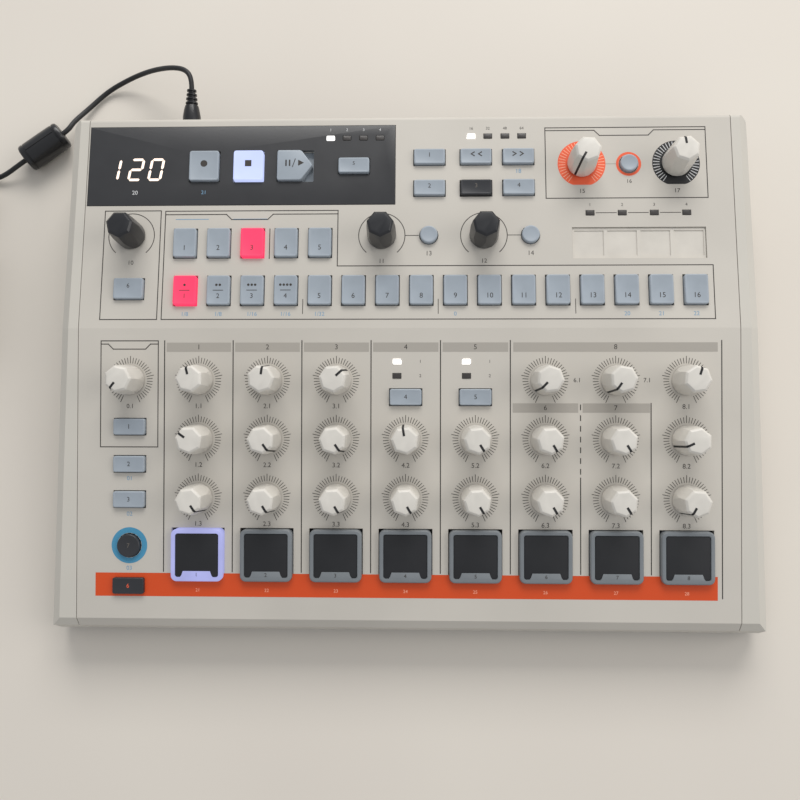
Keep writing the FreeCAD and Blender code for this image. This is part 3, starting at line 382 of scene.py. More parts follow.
violet_glow = glowing("violet_glow", (176, 180, 236), 0.85, 0.88)
digit_glow = glowing("digit_glow", (255, 232, 214), 1.5, 0.95)
dark_ink = ink("dark_ink", (52, 47, 43))
fine_ink = ink("fine_ink", (98, 91, 84))
band_ink = ink("band_ink", (168, 162, 153))
blue_ink = ink("blue_ink", (116, 156, 186))
white_ink = ink("white_ink", (214, 214, 214))
orange_ink = ink("orange_ink", (214, 72, 14), 0.5)
coral_ink = ink("coral_ink", (240, 96, 56))
pale_coral_ink = ink("pale_coral_ink", (255, 176, 146))
black_ink = ink("black_ink", (24, 24, 25))
ring_blue = ink("ring_blue", (68, 142, 178))
print(len(bpy.data.materials), "materials")

# %% [markdown]
# The pieces that the CAD has right keep their meshes. Each one only swaps the material in its slots.

# %% Finishes on the CAD nodes
CAD_FINISHES = {
    "top_panel": panel_paint, "left_cheek": cheek_plastic, "right_cheek": cheek_plastic,
    "base_tray": base_paint, "touch_strip": strip_plastic, "circuit_boards": board_green,
    "control_pots": pot_metal, "rear_sockets": socket_plastic, "rubber_feet": foot_rubber,
    "case_screws": screw_metal, "power_rocker": socket_plastic, "wall_adapter": bead_plastic,
}
for name, material in CAD_FINISHES.items():
    nodes[name].data.materials.clear()
    nodes[name].data.materials.append(material)

# %% [markdown]
# A knob is a round foot whose upper part is cut back by seven leaning flats. That is how the real one is
# moulded, so it is modelled as a round bar and a seven-sided tapered bar. A Boolean keeps what both share.

# %% Knob
KNOB_BASE, KNOB_TOP, KNOB_TALL, KNOB_LIFT, KNOB_BEVEL, KNOB_FLARE = 6.35, 5.15, 15.2, 0.8, 0.8, 4.6
SHAFT_RADIUS, SHAFT_DEEP = 3.0, 8.0


def seven_sides():
    corner = 1 / math.cos(math.pi / 7)
    low = KNOB_TOP + KNOB_TALL * math.tan(math.radians(KNOB_FLARE))
    middle = (KNOB_LIFT + KNOB_TALL / 2) * MM
    bpy.ops.mesh.primitive_cone_add(
        vertices=7, radius1=low * corner * MM, radius2=KNOB_TOP * corner * MM, depth=KNOB_TALL * MM,
        location=(0, 0, middle), rotation=(0, 0, math.pi / 7))
    bar = settle(newest("seven_sides"), Matrix.Identity(4))
    top = (KNOB_LIFT + KNOB_TALL) * MM
    pick(bar, "EDGE", lambda a, b: min(a.z, b.z) > top - 1e-6)
    bpy.ops.mesh.bevel(offset=KNOB_BEVEL * MM, segments=1)
    done()
    return bar


def knob_shape(name, material):
    bpy.ops.mesh.primitive_cylinder_add(
        vertices=96, radius=KNOB_BASE * MM, depth=KNOB_TALL * MM,
        location=(0, 0, (KNOB_LIFT + KNOB_TALL / 2) * MM))
    knob = settle(newest(name), Matrix.Identity(4))
    bar = seven_sides()
    modify(knob, "BOOLEAN", operation="INTERSECT", object=bar, solver="EXACT")
    discard(bar)
    modify(knob, "BEVEL", width=0.22 * MM, segments=3, limit_method="ANGLE", angle_limit=math.radians(9))
    length = (SHAFT_DEEP + KNOB_LIFT + 0.4) * MM
    bpy.ops.mesh.primitive_cylinder_add(
        vertices=32, radius=SHAFT_RADIUS * MM, depth=length,
        location=(0, 0, (KNOB_LIFT + 0.4) * MM - length / 2))
    shaft = newest("shaft")
    pick(shaft, "EDGE", lambda a, b: max(a.z, b.z) < 0)
    bpy.ops.mesh.bevel(offset=0.3 * MM, segments=1)
    done()
    for part, finish in ((knob, material), (shaft, pot_metal)):
        part.data.materials.clear()
        part.data.materials.append(finish)
    knob = join([knob, shaft], name)
    return smooth(knob, 24)


def first_face_up(profile, width):
    """A ribbon that follows points of a side view: each step is one extrusion of its end edge."""
    (start_y, start_z), (next_y, next_z) = profile[0], profile[1]
    bpy.ops.mesh.primitive_plane_add(size=1)
    ribbon = newest("ribbon")
    for corner in ribbon.data.vertices:
        far = corner.co.y > 0
        y, z = (next_y, next_z) if far else (start_y, start_z)
        corner.co = Vector(((width / 2 if corner.co.x > 0 else -width / 2), y, z)) * MM
    for (last_y, last_z), (y, z) in zip(profile[1:], profile[2:]):
        end = Vector((0, last_y, last_z)) * MM
        pick(ribbon, "EDGE", lambda a, b: abs(((a + b) / 2 - end).length) < 1e-7)
        step = Vector((0, y - last_y, z - last_z)) * MM
        bpy.ops.mesh.extrude_region_move(TRANSFORM_OT_translate={"value": step})
        done()
    return ribbon


def pointer_line():
    """The black line over the top, the bevel and the front flat of a knob."""
    over, top = 0.05, KNOB_LIFT + KNOB_TALL
    lean = math.tan(math.radians(KNOB_FLARE))
    meet = top - (KNOB_BASE - KNOB_TOP) / lean
    profile = [
        (1.9, top + over), (KNOB_TOP - KNOB_BEVEL + 0.05, top + over),
        (KNOB_TOP + 0.09, top - KNOB_BEVEL + 0.02),
        (KNOB_BASE + over, meet), (KNOB_BASE + over, KNOB_LIFT + 0.3),
    ]
    line = first_face_up(profile, 0.95)
    modify(line, "SOLIDIFY", thickness=0.09 * MM, offset=0.0)
    line.data.materials.append(black_ink)
    return line


white_knob = join([knob_shape("white_knob", white_plastic), pointer_line()], "white_knob")
black_knob = knob_shape("black_knob", black_plastic)
print("a white knob has", len(white_knob.data.polygons), "faces")

# %% [markdown]
# The voice columns stand at one pitch, centred on the machine, and the first column on the left is the
# metronome's. Each knob rests where the photograph shows its line, turned clockwise from straight up.

# %% Knobs in their places
COLUMN_PITCH, ROW_PITCH, FIRST_ROW, PAD_ROW = 30.0, 25.5, 22.6, 98.2
VOICES = ["kick", "snare_one", "snare_two", "tom", "cymbal", "closed_hat", "open_hat", "fm_drum"]
POINTERS = {
    "kick": (-13, -55, 146), "snare_one": (8, 145, 148), "snare_two": (47, 146, 150),
    "tom": (None, -9, 150), "cymbal": (None, 148, 150), "closed_hat": (-136, 150, 150),
    "open_hat": (-145, 148, 148), "fm_drum": (18, -115, -150),
}


def column(index):
    return (index - 4) * COLUMN_PITCH


def row(level):
    return FIRST_ROW + level * ROW_PITCH


KNOBS = [("metronome_knob", "lower", column(0), row(0), -142)]
for index, voice in enumerate(VOICES, start=1):
    for level, pointer in enumerate(POINTERS[voice]):
        if pointer is not None:
            label = ("top", "middle", "bottom")[level]
            KNOBS.append((f"{voice}_{label}_knob", "lower", column(index), row(level), pointer))
KNOBS.append(("distortion_knob", "upper", 77.2, 73.8, -150))
KNOBS.append(("master_knob", "upper", 118.5, 73.8, -7))
ENCODERS = [
    ("rate_encoder_knob", -121.6, 41.7), ("swing_encoder_knob", -10.7, 41.4),
    ("random_encoder_knob", 34.0, 41.4),
]


def stand_for(piece, node):
    """The piece replaces a CAD node and moves with its body."""
    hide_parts(node)
    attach(piece, node + "_body")


for name, side, x, along, pointer in KNOBS:
    knob = copy_to(white_knob, name + "_look", on_panel(side, x, along, -pointer))
    stand_for(knob, name)
for name, x, along in ENCODERS:
    knob = copy_to(black_knob, name + "_look", on_panel("upper", x, along))
    stand_for(knob, name)
discard(white_knob, black_knob)
print(len(KNOBS) + len(ENCODERS), "knobs")

# %% [markdown]
# Print on the panel is ink a few hundredths of a millimetre thick. It is drawn with thin flat bars, rings
# and numerals just above the paint. Each colour ends up as one piece, and words are left out: plain
# numbers stand where the real machine has names.

# %% Tools for print
INK_LIFT = 0.035
prints = {}


def keep(color, piece):
    prints.setdefault(color, []).append(piece)
    return piece


def bar(color, side, x, along, wide, deep, turn=0.0, lift=INK_LIFT):
    """A rectangle of ink centred on a place."""
    bpy.ops.mesh.primitive_plane_add(size=1)
    piece = newest("bar")
    piece.scale = (wide * MM, deep * MM, 1)
    return keep(color, settle(piece, on_panel(side, x, along, turn, lift)))


def line(color, side, start, end, thick=0.4):
    """A straight stroke between two places, each given as x and distance from the fold."""
    (x1, a1), (x2, a2) = start, end
    sign = -1 if side == "lower" else 1
    turn = math.degrees(math.atan2(sign * (a2 - a1), x2 - x1))
    length = math.hypot(x2 - x1, a2 - a1) + thick
    return bar(color, side, (x1 + x2) / 2, (a1 + a2) / 2, length, thick, turn)


def path(color, side, points, thick=0.4):
    for start, end in zip(points, points[1:]):
        line(color, side, start, end, thick)


def ring(color, side, x, along, inner, outer, open_half=0.0, lift=INK_LIFT):
    """A ring of ink, open at the bottom by so many degrees each side."""
    bpy.ops.mesh.primitive_circle_add(vertices=96, radius=inner * MM, fill_type="NOTHING")
    piece = newest("ring")
    pick(piece, "VERT", lambda v: True)
    bpy.ops.mesh.extrude_region()
    bpy.ops.transform.resize(value=(outer / inner, outer / inner, 1))
    if open_half:
        done()
        pick(piece, "FACE", lambda c, n: abs(math.degrees(math.atan2(c.x, -c.y))) < open_half)
        bpy.ops.mesh.delete(type="FACE")
    bpy.ops.mesh.select_all(action="SELECT")
    bpy.ops.mesh.normals_make_consistent(inside=False)
    done()
    face_up(piece)
    return keep(color, settle(piece, on_panel(side, x, along, 0, lift)))


def face_up(piece):
    """Turns a flat piece over where its faces look down."""
    if piece.data.polygons[0].normal.z < 0:
        piece.data.flip_normals()


def disc(color, side, x, along, radius, flat_below=None, lift=INK_LIFT):
    """A filled circle of ink, cut flat at the bottom where asked."""
    bpy.ops.mesh.primitive_circle_add(vertices=72, radius=radius * MM, fill_type="NGON")
    piece = newest("disc")
    if flat_below:
        for corner in piece.data.vertices:
            corner.co.y = max(corner.co.y, -flat_below * MM)
    face_up(piece)
    return keep(color, settle(piece, on_panel(side, x, along, 0, lift)))


def words(text, size, place, color=None):
    """A numeral or sign as a flat mesh, centred on its place."""
    bpy.ops.object.text_add()
    piece = newest("numeral")
    piece.data.body = text
    piece.data.size = size * MM
    piece.data.align_x = "CENTER"
    piece.data.align_y = "CENTER"
    piece.data.resolution_u = 3
    deselect()
    piece.select_set(True)
    bpy.context.view_layer.objects.active = piece
    bpy.ops.object.convert(target="MESH")
    piece = settle(newest("numeral"), place)
    return keep(color, piece) if color else piece


def label(color, side, x, along, text, size=3.0):
    return words(text, size, on_panel(side, x, along, 0, INK_LIFT), color)


# %% [markdown]
# Round each knob the panel has a dial of fine strokes. One dial is drawn once and copied to every place.

# %% Dials
TICK_COUNT, TICK_SWEEP = 41, 156.0
TICK_INNER, TICK_OUTER = 7.3, 9.8


def dial(inner, outer, sweep=TICK_SWEEP, count=TICK_COUNT, thick=0.27, long_every=10):
    """A ring of short radial strokes about the origin; every tenth one is a little longer."""
    strokes = []
    for index in range(count):
        angle = -sweep + 2 * sweep * index / (count - 1)
        reach = outer + (0.7 if long_every and index % long_every == 0 else 0)
        bpy.ops.mesh.primitive_plane_add(size=1)
        stroke = newest("stroke")
        stroke.scale = (thick * MM, (reach - inner) * MM, 1)
        turn = Matrix.Rotation(math.radians(-angle), 4, "Z")
        settle(stroke, turn @ Matrix.Translation((0, (reach + inner) / 2 * MM, 0)))
        strokes.append(stroke)
    return join(strokes, "dial")


plain_dial = dial(TICK_INNER, TICK_OUTER)
for name, side, x, along, _ in KNOBS:
    if side == "lower":
        keep("dark", copy_to(plain_dial, "dial_copy", on_panel(side, x, along, 0, INK_LIFT)))
discard(plain_dial)
disc("coral", "upper", 77.2, 73.8, 10.5, 9.7)
disc("black", "upper", 118.5, 73.8, 10.4, 9.6)
pale_dial = dial(7.2, 10.1, 144.0, 35, 0.3, 0)
keep("pale_coral", copy_to(pale_dial, "coral_strokes", on_panel("upper", 77.2, 73.8, 0, 2 * INK_LIFT)))
keep("white", copy_to(pale_dial, "white_strokes", on_panel("upper", 118.5, 73.8, 0, 2 * INK_LIFT)))
discard(pale_dial)
for _, x, along in ENCODERS:
    ring("dark", "upper", x, along, 10.0, 10.35, 42.0)
ring("coral", "upper", 97.8, 73.6, 4.35, 5.5)
ring("ring_blue", "lower", -120.0, 94.4, 5.4, 7.8)

# %% [markdown]
# The frames round the groups of controls are single strokes. A name plate in a frame's top line is marked by
# a shallow trapezoid, and the plate itself stays bare or carries a number.

# %% Frames and lines
def plate_line(color, side, left, right, along, notch_left, notch_right, drop, thick=0.4):
    """A second line under a frame's top edge that dips round the plate; the drop is away from the edge."""
    ease = abs(drop)
    path(color, side, [(left, along), (notch_left - ease, along), (notch_left, along + drop),
                       (notch_right, along + drop), (notch_right + ease, along), (right, along)], thick)


path("dark", "upper", [(-133.9, 53.2), (-108.8, 53.2), (-108.8, 3.9), (-133.9, 3.9), (-133.9, 53.2)])
path("dark", "upper", [(-106.8, 53.0), (-30.1, 53.0), (-30.1, 27.7), (132.6, 27.7), (132.6, 3.9),
                       (-106.8, 3.9), (-106.8, 53.0)])
plate_line("dark", "upper", -106.8, -30.1, 51.4, -77.2, -61.2, -2.4)
path("dark", "upper", [(61.4, 90.6), (131.8, 90.6), (131.8, 58.0), (61.4, 58.0), (61.4, 90.6)])
plate_line("dark", "upper", 61.4, 131.8, 89.3, 85.4, 106.8, -2.4)
path("dark", "lower", [(-133.0, 5.5), (-107.8, 5.5), (-107.8, 51.7), (-133.0, 51.7), (-133.0, 5.5)])
plate_line("dark", "lower", -133.0, -107.8, 6.9, -127.6, -113.4, 2.2)
line("dark", "upper", (-60.1, 31.2), (-60.1, 44.6))
for x in (-44.9, 14.0, 73.2):
    line("dark", "upper", (x, 6.4), (x, 12.7), 0.3)
for index in range(9):
    x = column(index) + COLUMN_PITCH / 2
    if index == 8:
        line("dark", "lower", (x, 5.5), (x, 115.5), 0.45)
    elif index != 6 and index != 7:
        line("dark", "lower", (x, 5.5), (x, 105.6), 0.45)
line("dark", "lower", (105.0, 32.5), (105.0, 105.6), 0.45)
for step in range(7):
    line("dark", "lower", (75.0, 33.2 + 4.6 * step), (75.0, 35.2 + 4.6 * step), 0.45)
line("dark", "lower", (75.0, 64.5), (75.0, 105.6), 0.45)
line("dark", "upper", (-0.5, 41.4), (5.4, 41.4), 0.3)
line("dark", "upper", (44.3, 41.4), (49.8, 41.4), 0.3)
line("band", "upper", (87.8, 73.7), (92.2, 73.7), 0.35)
line("dark", "upper", (83.0, 51.3), (91.8, 51.3), 0.3)
line("dark", "upper", (97.0, 51.3), (105.7, 51.3), 0.3)
line("dark", "upper", (110.9, 51.3), (119.7, 51.3), 0.3)
line("blue", "upper", (-102.0, 49.2), (-87.6, 49.2), 0.3)
line("blue", "upper", (-76.4, 49.2), (-61.6, 49.2), 0.3)

# %% Bands behind the column numbers and the orange strip
for index in range(1, 6):
    bar("band", "lower", column(index), 8.3, 28.2, 4.0)
bar("band", "lower", 89.8, 8.3, 87.0, 4.0)
bar("band", "lower", 60.0, 34.5, 28.0, 4.0)
bar("band", "lower", 90.2, 34.5, 28.6, 4.0)
bar("orange", "lower", -0.9, 111.35, 267.8, 10.1, 0, INK_LIFT * 0.6)

# %% Numbers in place of names
for index in range(1, 6):
    label("over", "lower", column(index), 8.3, str(index), 3.1)
label("over", "lower", 90.0, 8.3, "8", 3.1)
label("over", "lower", 60.0, 34.5, "6", 3.0)
label("over", "lower", 90.0, 34.5, "7", 3.0)
for index, voice in enumerate(VOICES, start=1):
    for level, pointer in enumerate(POINTERS[voice]):
        if pointer is not None and not (level == 0 and index in (6, 7)):
            label("dark", "lower", column(index), row(level) + 11.3, f"{index}.{level + 1}", 2.9)
    label("pale", "lower", column(index), 113.6, f"{index + 20}", 2.0)
label("dark", "lower", 73.6, 22.6, "6.1", 2.7)
label("dark", "lower", 103.4, 22.6, "7.1", 2.7)
label("dark", "lower", column(0), row(0) + 11.4, "0.1", 2.7)
for x, along, text in ((-120.0, 65.4, "01"), (-120.0, 80.8, "02"), (-120.0, 104.3, "03")):
    label("blue", "lower", x, along, text, 2.6)
for x, along, text in ((6.3, 14.5, "1"), (6.3, 20.7, "2"), (36.2, 14.5, "1"), (36.2, 20.7, "2")):
    label("dark", "lower", x, along, text, 1.9)
label("dark", "upper", -121.5, 29.4, "10", 2.7)
label("dark", "upper", -10.7, 28.9 + 0.9, "11", 2.7)
label("dark", "upper", 34.0, 28.9 + 0.9, "12", 2.7)
label("dark", "upper", 9.9, 33.2, "13", 2.9)
label("dark", "upper", 54.3, 33.2, "14", 2.9)
label("dark", "upper", 77.2, 61.2, "15", 2.7)
label("dark", "upper", 97.8, 65.6, "16", 2.5)
label("dark", "upper", 118.5, 61.2, "17", 2.7)
label("blue", "upper", 49.4, 70.6, "18", 2.7)
for x, text in zip((28.7, 36.1, 43.7, 51.1), ("16", "32", "48", "64")):
    label("dark", "upper", x, 90.6, text, 1.8)
for x, text in zip((80.4, 94.4, 108.3, 122.3), "1234"):
    label("dark", "upper", x, 54.9, text, 1.9)
for x, text in ((-96.6, "1/8"), (-81.9, "1/8"), (-67.1, "1/16"), (-52.4, "1/16"), (-37.6, "1/32"),
                (21.4, "0"), (95.2, "20"), (109.9, "21"), (124.7, "22")):
    label("blue", "upper", x, 6.2, text, 2.6)

# %% [markdown]
# Caps are moulded with a small draft, rounded corners and a soft edge. A tool makes one from its width,
# length and corner radius, and adds the flange and the stem that the case hides.

# %% Caps
CAP_PROUD, CAP_UNDER, FLANGE, STEM_END = 1.8, -3.7, 0.9, -9.9


def rounded_block(name, wide, deep, low, high, corner, edge, material, segments=5):
    bpy.ops.mesh.primitive_cube_add(size=1, location=(0, 0, (low + high) / 2 * MM))
    block = newest(name)
    block.scale = (wide * MM, deep * MM, (high - low) * MM)
    settle(block, Matrix.Identity(4))
    pick(block, "EDGE", lambda a, b: abs(a.z - b.z) > 1e-6)
    bpy.ops.mesh.bevel(offset=corner * MM, segments=segments)
    done()
    pick(block, "EDGE", lambda a, b: min(a.z, b.z) > high * MM - 1e-6)
    bpy.ops.mesh.bevel(offset=edge * MM, segments=3)
    done()
    block.data.materials.append(material)
    return block


def foot_and_stem(wide, deep, stem=3.6):
    low, high = CAP_UNDER, CAP_UNDER + FLANGE
    flange = rounded_block("flange", wide + 1.8, deep + 1.8, low, high, 0.6, 0.1, cap_plastic, 2)
    post = rounded_block("stem", stem, stem, STEM_END, CAP_UNDER + 0.1, 0.4, 0.1, cap_plastic, 2)
    return [flange, post]


def block_cap(name, wide, deep, material, corner=1.1):
    """A cap with a slightly hollowed top, as the finger feels it."""
    cap = rounded_block(name, wide, deep, CAP_UNDER + 0.4, CAP_PROUD, corner, 0.45, material)
    pick(cap, "FACE", lambda c, n: n.z > 0.99 and c.z > (CAP_PROUD - 0.1) * MM)
    bpy.ops.mesh.inset(thickness=0.35 * MM)
    bpy.ops.transform.translate(value=(0, 0, -0.1 * MM))
    done()
    return smooth(join([cap, *foot_and_stem(wide, deep)], name), 40)


def round_cap(name, radius, material):
    bpy.ops.mesh.primitive_cylinder_add(
        vertices=64, radius=radius * MM, depth=(CAP_PROUD - CAP_UNDER) * MM,
        location=(0, 0, (CAP_PROUD + CAP_UNDER) / 2 * MM))
    cap = settle(newest(name), Matrix.Identity(4))
    pick(cap, "EDGE", lambda a, b: min(a.z, b.z) > CAP_PROUD * MM - 1e-6)
    bpy.ops.mesh.bevel(offset=0.6 * MM, segments=4)
    done()
    pick(cap, "FACE", lambda c, n: n.z > 0.99)
    bpy.ops.mesh.inset(thickness=0.4 * MM)
    bpy.ops.transform.translate(value=(0, 0, -0.12 * MM))
    done()
    cap.data.materials.append(material)
    return smooth(join([cap, *foot_and_stem(radius * 1.2, radius * 1.2)], name), 40)


def play_cap(name, wide, deep, material):
    """A cap that ends in a point to the right: the far corners are bevelled until they meet."""
    bpy.ops.mesh.primitive_cube_add(size=1, location=(0, 0, (CAP_UNDER + 0.4 + CAP_PROUD) / 2 * MM))
    cap = newest(name)
    cap.scale = (wide * MM, deep * MM, (CAP_PROUD - CAP_UNDER - 0.4) * MM)
    settle(cap, Matrix.Identity(4))
    pick(cap, "EDGE", lambda a, b: (a - b).length > deep * 0.9 * MM and abs(a.x - b.x) < 1e-6 and a.x > 0)
    bpy.ops.mesh.subdivide(number_cuts=1)
    done()
    for corner in cap.data.vertices:
        if corner.co.x > 0 and abs(corner.co.y) > 1e-5:
            corner.co.x -= 5.2 * MM
    pick(cap, "EDGE", lambda a, b: abs(a.z - b.z) > 1e-5)
    bpy.ops.mesh.bevel(offset=0.9 * MM, segments=4)
    done()
    pick(cap, "EDGE", lambda a, b: min(a.z, b.z) > CAP_PROUD * MM - 1e-6)
    bpy.ops.mesh.bevel(offset=0.4 * MM, segments=3)
    done()
    cap.data.materials.append(material)
    return smooth(join([cap, *foot_and_stem(wide - 1.0, deep)], name), 40)


step_cap = block_cap("step_cap", 10.1, 13.1, cap_plastic)
pink_cap = block_cap("pink_cap", 10.1, 13.1, pink_glow)
big_cap = block_cap("big_cap", 13.2, 13.9, cap_plastic)
blue_cap = block_cap("blue_cap", 13.2, 13.9, blue_glow)
arrow_cap = play_cap("arrow_cap", 15.8, 13.9, cap_plastic)
wide_cap = block_cap("wide_cap", 13.7, 7.0, cap_plastic, 0.9)
dark_cap = block_cap("dark_cap", 13.7, 7.0, dark_cap_plastic, 0.9)
tap_cap = block_cap("tap_cap", 13.0, 9.3, cap_plastic, 0.9)
small_round = round_cap("small_round", 3.9, cap_plastic)
shift_round = round_cap("shift_round", 5.0, dark_cap_plastic)


# %% [markdown]
# The signs on the transport caps are the ones that every recorder has: a dot, a square, and bars with an
# arrow. They are drawn on the cap, so they move with it.

# %% Signs and numbers on caps
def flat_shape(name, points, place, material):
    """A filled flat outline from a few corners, made from a circle of as many points."""
    bpy.ops.mesh.primitive_circle_add(vertices=len(points), radius=MM, fill_type="NGON")
    piece = newest(name)
    for corner, (x, y) in zip(piece.data.vertices, points):
        corner.co = Vector((x, y, 0)) * MM
    piece.data.update()
    face_up(piece)
    piece.data.materials.append(material)
    return settle(piece, place)


def rectangle(wide, deep, x=0.0, y=0.0, lean=0.0):
    half_w, half_d = wide / 2, deep / 2
    return [(x - half_w - lean, y - half_d), (x + half_w - lean, y - half_d),
            (x + half_w + lean, y + half_d), (x - half_w + lean, y + half_d)]


def dotted(radius, x=0.0, y=0.0, count=20):
    turns = [2 * math.pi * index / count for index in range(count)]
    return [(x + radius * math.cos(turn), y + radius * math.sin(turn)) for turn in turns]


def mark(shapes, side, x, along, lift, material=None):
    place = on_panel(side, x, along, 0, lift)
    return [flat_shape("mark", shape, place, material or dark_ink) for shape in shapes]


def number(text, side, x, along, lift, size, material=None):
    piece = words(text, size, on_panel(side, x, along, 0, lift))
    piece.data.materials.clear()
    piece.data.materials.append(material or dark_ink)
    return piece


def group(name, pieces, slot="cap"):
    """Joins caps and their marks into the piece that stands for a CAD node."""
    piece = join(pieces, name + "_look")
    stand_for(piece, name)
    return piece


TOP = CAP_PROUD - 0.1 + INK_LIFT
STEP_X = [-96.6 + index * 14.75 for index in range(16)]
MODE_X = [-97.4 + index * 14.9 for index in range(5)]
step_pieces = []
for index, x in enumerate(STEP_X):
    step_pieces.append(copy_to(pink_cap if index == 0 else step_cap, "cap", on_panel("upper", x, 16.65)))
    if index < 4:
        step_pieces.append(number(f"{index + 1}", "upper", x, 13.9, TOP, 3.0))
        step_pieces += mark([rectangle(4.6, 0.3)], "upper", x, 16.5, TOP)
        step_pieces += mark([dotted(0.55, (dot - index / 2) * 1.5) for dot in range(index + 1)],
                            "upper", x, 18.9, TOP)
    else:
        step_pieces.append(number(f"{index + 1}", "upper", x, 13.9, TOP, 3.2))
group("step_buttons", step_pieces)
mode_pieces = []
for index, x in enumerate(MODE_X):
    mode_pieces.append(copy_to(pink_cap if index == 2 else step_cap, "cap", on_panel("upper", x, 38.1)))
    mode_pieces.append(number(f"{index + 1}", "upper", x, 35.6, TOP, 3.2))
group("mode_buttons", mode_pieces)

RECORD_X, STOP_X, PLAY_X, SYNC_X = -90.1, -70.3, -49.5, -23.3
TRANSPORT_ROW, SYNC_ROW, SIGN_ROW = 73.5, 73.3, 74.4
transport = [
    copy_to(big_cap, "cap", on_panel("upper", RECORD_X, TRANSPORT_ROW)),
    copy_to(blue_cap, "cap", on_panel("upper", STOP_X, TRANSPORT_ROW)),
    copy_to(arrow_cap, "cap", on_panel("upper", PLAY_X, TRANSPORT_ROW)),
    copy_to(wide_cap, "cap", on_panel("upper", SYNC_X, SYNC_ROW)),
]
transport += mark([dotted(1.55)], "upper", RECORD_X, SIGN_ROW, TOP)
transport += mark([rectangle(2.9, 2.9)], "upper", STOP_X, SIGN_ROW, TOP)
play_signs = [
    rectangle(0.65, 2.9, -3.9), rectangle(0.65, 2.9, -2.3), rectangle(0.35, 3.9, -0.4, 0, 0.65),
    [(1.5, -1.4), (4.1, 0), (1.5, 1.4)],
]
transport += mark(play_signs, "upper", PLAY_X, SIGN_ROW, TOP + 0.1)
transport.append(number("5", "upper", SYNC_X, 74.0, TOP, 2.4))
group("transport_buttons", transport)


def chevron(x, point):
    """One arrow head of a double arrow; point is 1 to the right and -1 to the left."""
    tip, tail, thick = x + point * 0.9, x - point * 0.9, 0.5
    return [
        [(tail, 1.2), (tip, 0.0), (tip - point * thick * 1.6, 0.0), (tail - point * thick * 0.5, 0.75)],
        [(tail, -1.2), (tip, 0.0), (tip - point * thick * 1.6, 0.0), (tail - point * thick * 0.5, -0.75)],
    ]


UTILITY = [(10.2, 77.1, wide_cap, "1"), (10.2, 62.8, wide_cap, "2"), (30.7, 77.1, wide_cap, None),
           (49.4, 77.1, wide_cap, None), (30.7, 62.8, dark_cap, "3"), (49.4, 62.9, wide_cap, "4")]
utility = []
for x, along, cap, text in UTILITY:
    utility.append(copy_to(cap, "cap", on_panel("upper", x, along)))
    if text:
        material = fine_ink if cap is dark_cap else dark_ink
        utility.append(number(text, "upper", x, along + 0.6, TOP, 2.8, material))
    else:
        point = -1 if x < 40 else 1
        utility += mark(chevron(-1.6, point) + chevron(1.6, point), "upper", x, along + 0.9, TOP)
group("utility_buttons", utility)

round_pieces = [copy_to(small_round, "cap", on_panel("upper", x, along))
                for x, along in ((9.9, 41.4), (54.3, 41.4), (97.8, 73.6))]
round_pieces.append(copy_to(tap_cap, "cap", on_panel("upper", -121.5, 17.5)))
round_pieces.append(number("6", "upper", -121.5, 18.6, TOP, 2.8))
group("round_buttons", round_pieces)

LOWER_CAPS = [
    (-120.0, 42.9, "1"), (-120.0, 59.1, "2"), (-120.0, 74.4, "3"), (0.0, 29.9, "4"), (30.0, 29.9, "5"),
]
lower_pieces = []
for x, along, text in LOWER_CAPS:
    lower_pieces.append(copy_to(wide_cap, "cap", on_panel("lower", x, along)))
    lower_pieces.append(number(text, "lower", x, along, TOP, 2.8))
lower_pieces.append(copy_to(dark_cap, "cap", on_panel("lower", -120.0, 111.7)))
lower_pieces.append(number("6", "lower", -120.0, 111.7, TOP, 2.6, coral_ink))
lower_pieces.append(copy_to(shift_round, "cap", on_panel("lower", -120.0, 94.4)))
lower_pieces.append(number("7", "lower", -120.0, 94.4, TOP, 2.8, fine_ink))
group("lower_buttons", lower_pieces)
discard(step_cap, pink_cap, big_cap, blue_cap, arrow_cap)
discard(wide_cap, dark_cap, tap_cap, small_round, shift_round)

# %% [markdown]
# A drum pad is a rubber tile in a harder rim. The rim stands a little above the tile, and at the front a
# small tab of the rim reaches in and carries the pad's number. The rim of the pad being played is lit.

# %% Pads
PAD_SIZE, PAD_PROUD, PAD_RIM, PAD_STEM = 22.5, 2.6, 1.75, -9.7


def pad_shape(name, rim_material):
    rim = rounded_block(name, PAD_SIZE, PAD_SIZE, CAP_UNDER + 0.4, PAD_PROUD, 2.6, 0.7, rim_material, 6)
    pick(rim, "FACE", lambda c, n: n.z > 0.99 and c.z > (PAD_PROUD - 0.1) * MM)
    bpy.ops.mesh.inset(thickness=(PAD_RIM - 0.7) * MM)
    bpy.ops.mesh.inset(thickness=0.12 * MM, depth=-0.5 * MM)
    done()
    inner = PAD_SIZE - 2 * PAD_RIM - 0.24
    tile = rounded_block("tile", inner, inner, PAD_PROUD - 0.9, PAD_PROUD - 0.3, 1.1, 0.25, pad_rubber, 5)
    low = -inner / 2
    tab = flat_shape("tab", [(-7.4, low - 0.3), (7.4, low - 0.3), (6.5, low + 0.8), (5.9, low + 2.6),
                             (-5.9, low + 2.6), (-6.5, low + 0.8)], Matrix.Identity(4), rim_material)
    modify(tab, "SOLIDIFY", thickness=0.7 * MM, offset=-1.0)
    modify(tab, "BEVEL", width=0.12 * MM, segments=2)
    settle(tab, Matrix.Translation((0, 0, (PAD_PROUD - 0.02) * MM)))
    wide, high = PAD_SIZE + 2, CAP_UNDER + FLANGE
    flange = rounded_block("flange", wide, wide, CAP_UNDER, high, 2.0, 0.1, pad_rubber, 3)
    post = rounded_block("stem", 9.0, 9.0, PAD_STEM, CAP_UNDER + 0.1, 0.6, 0.2, pad_rubber, 2)
    return smooth(join([rim, tile, tab, flange, post], name), 40)


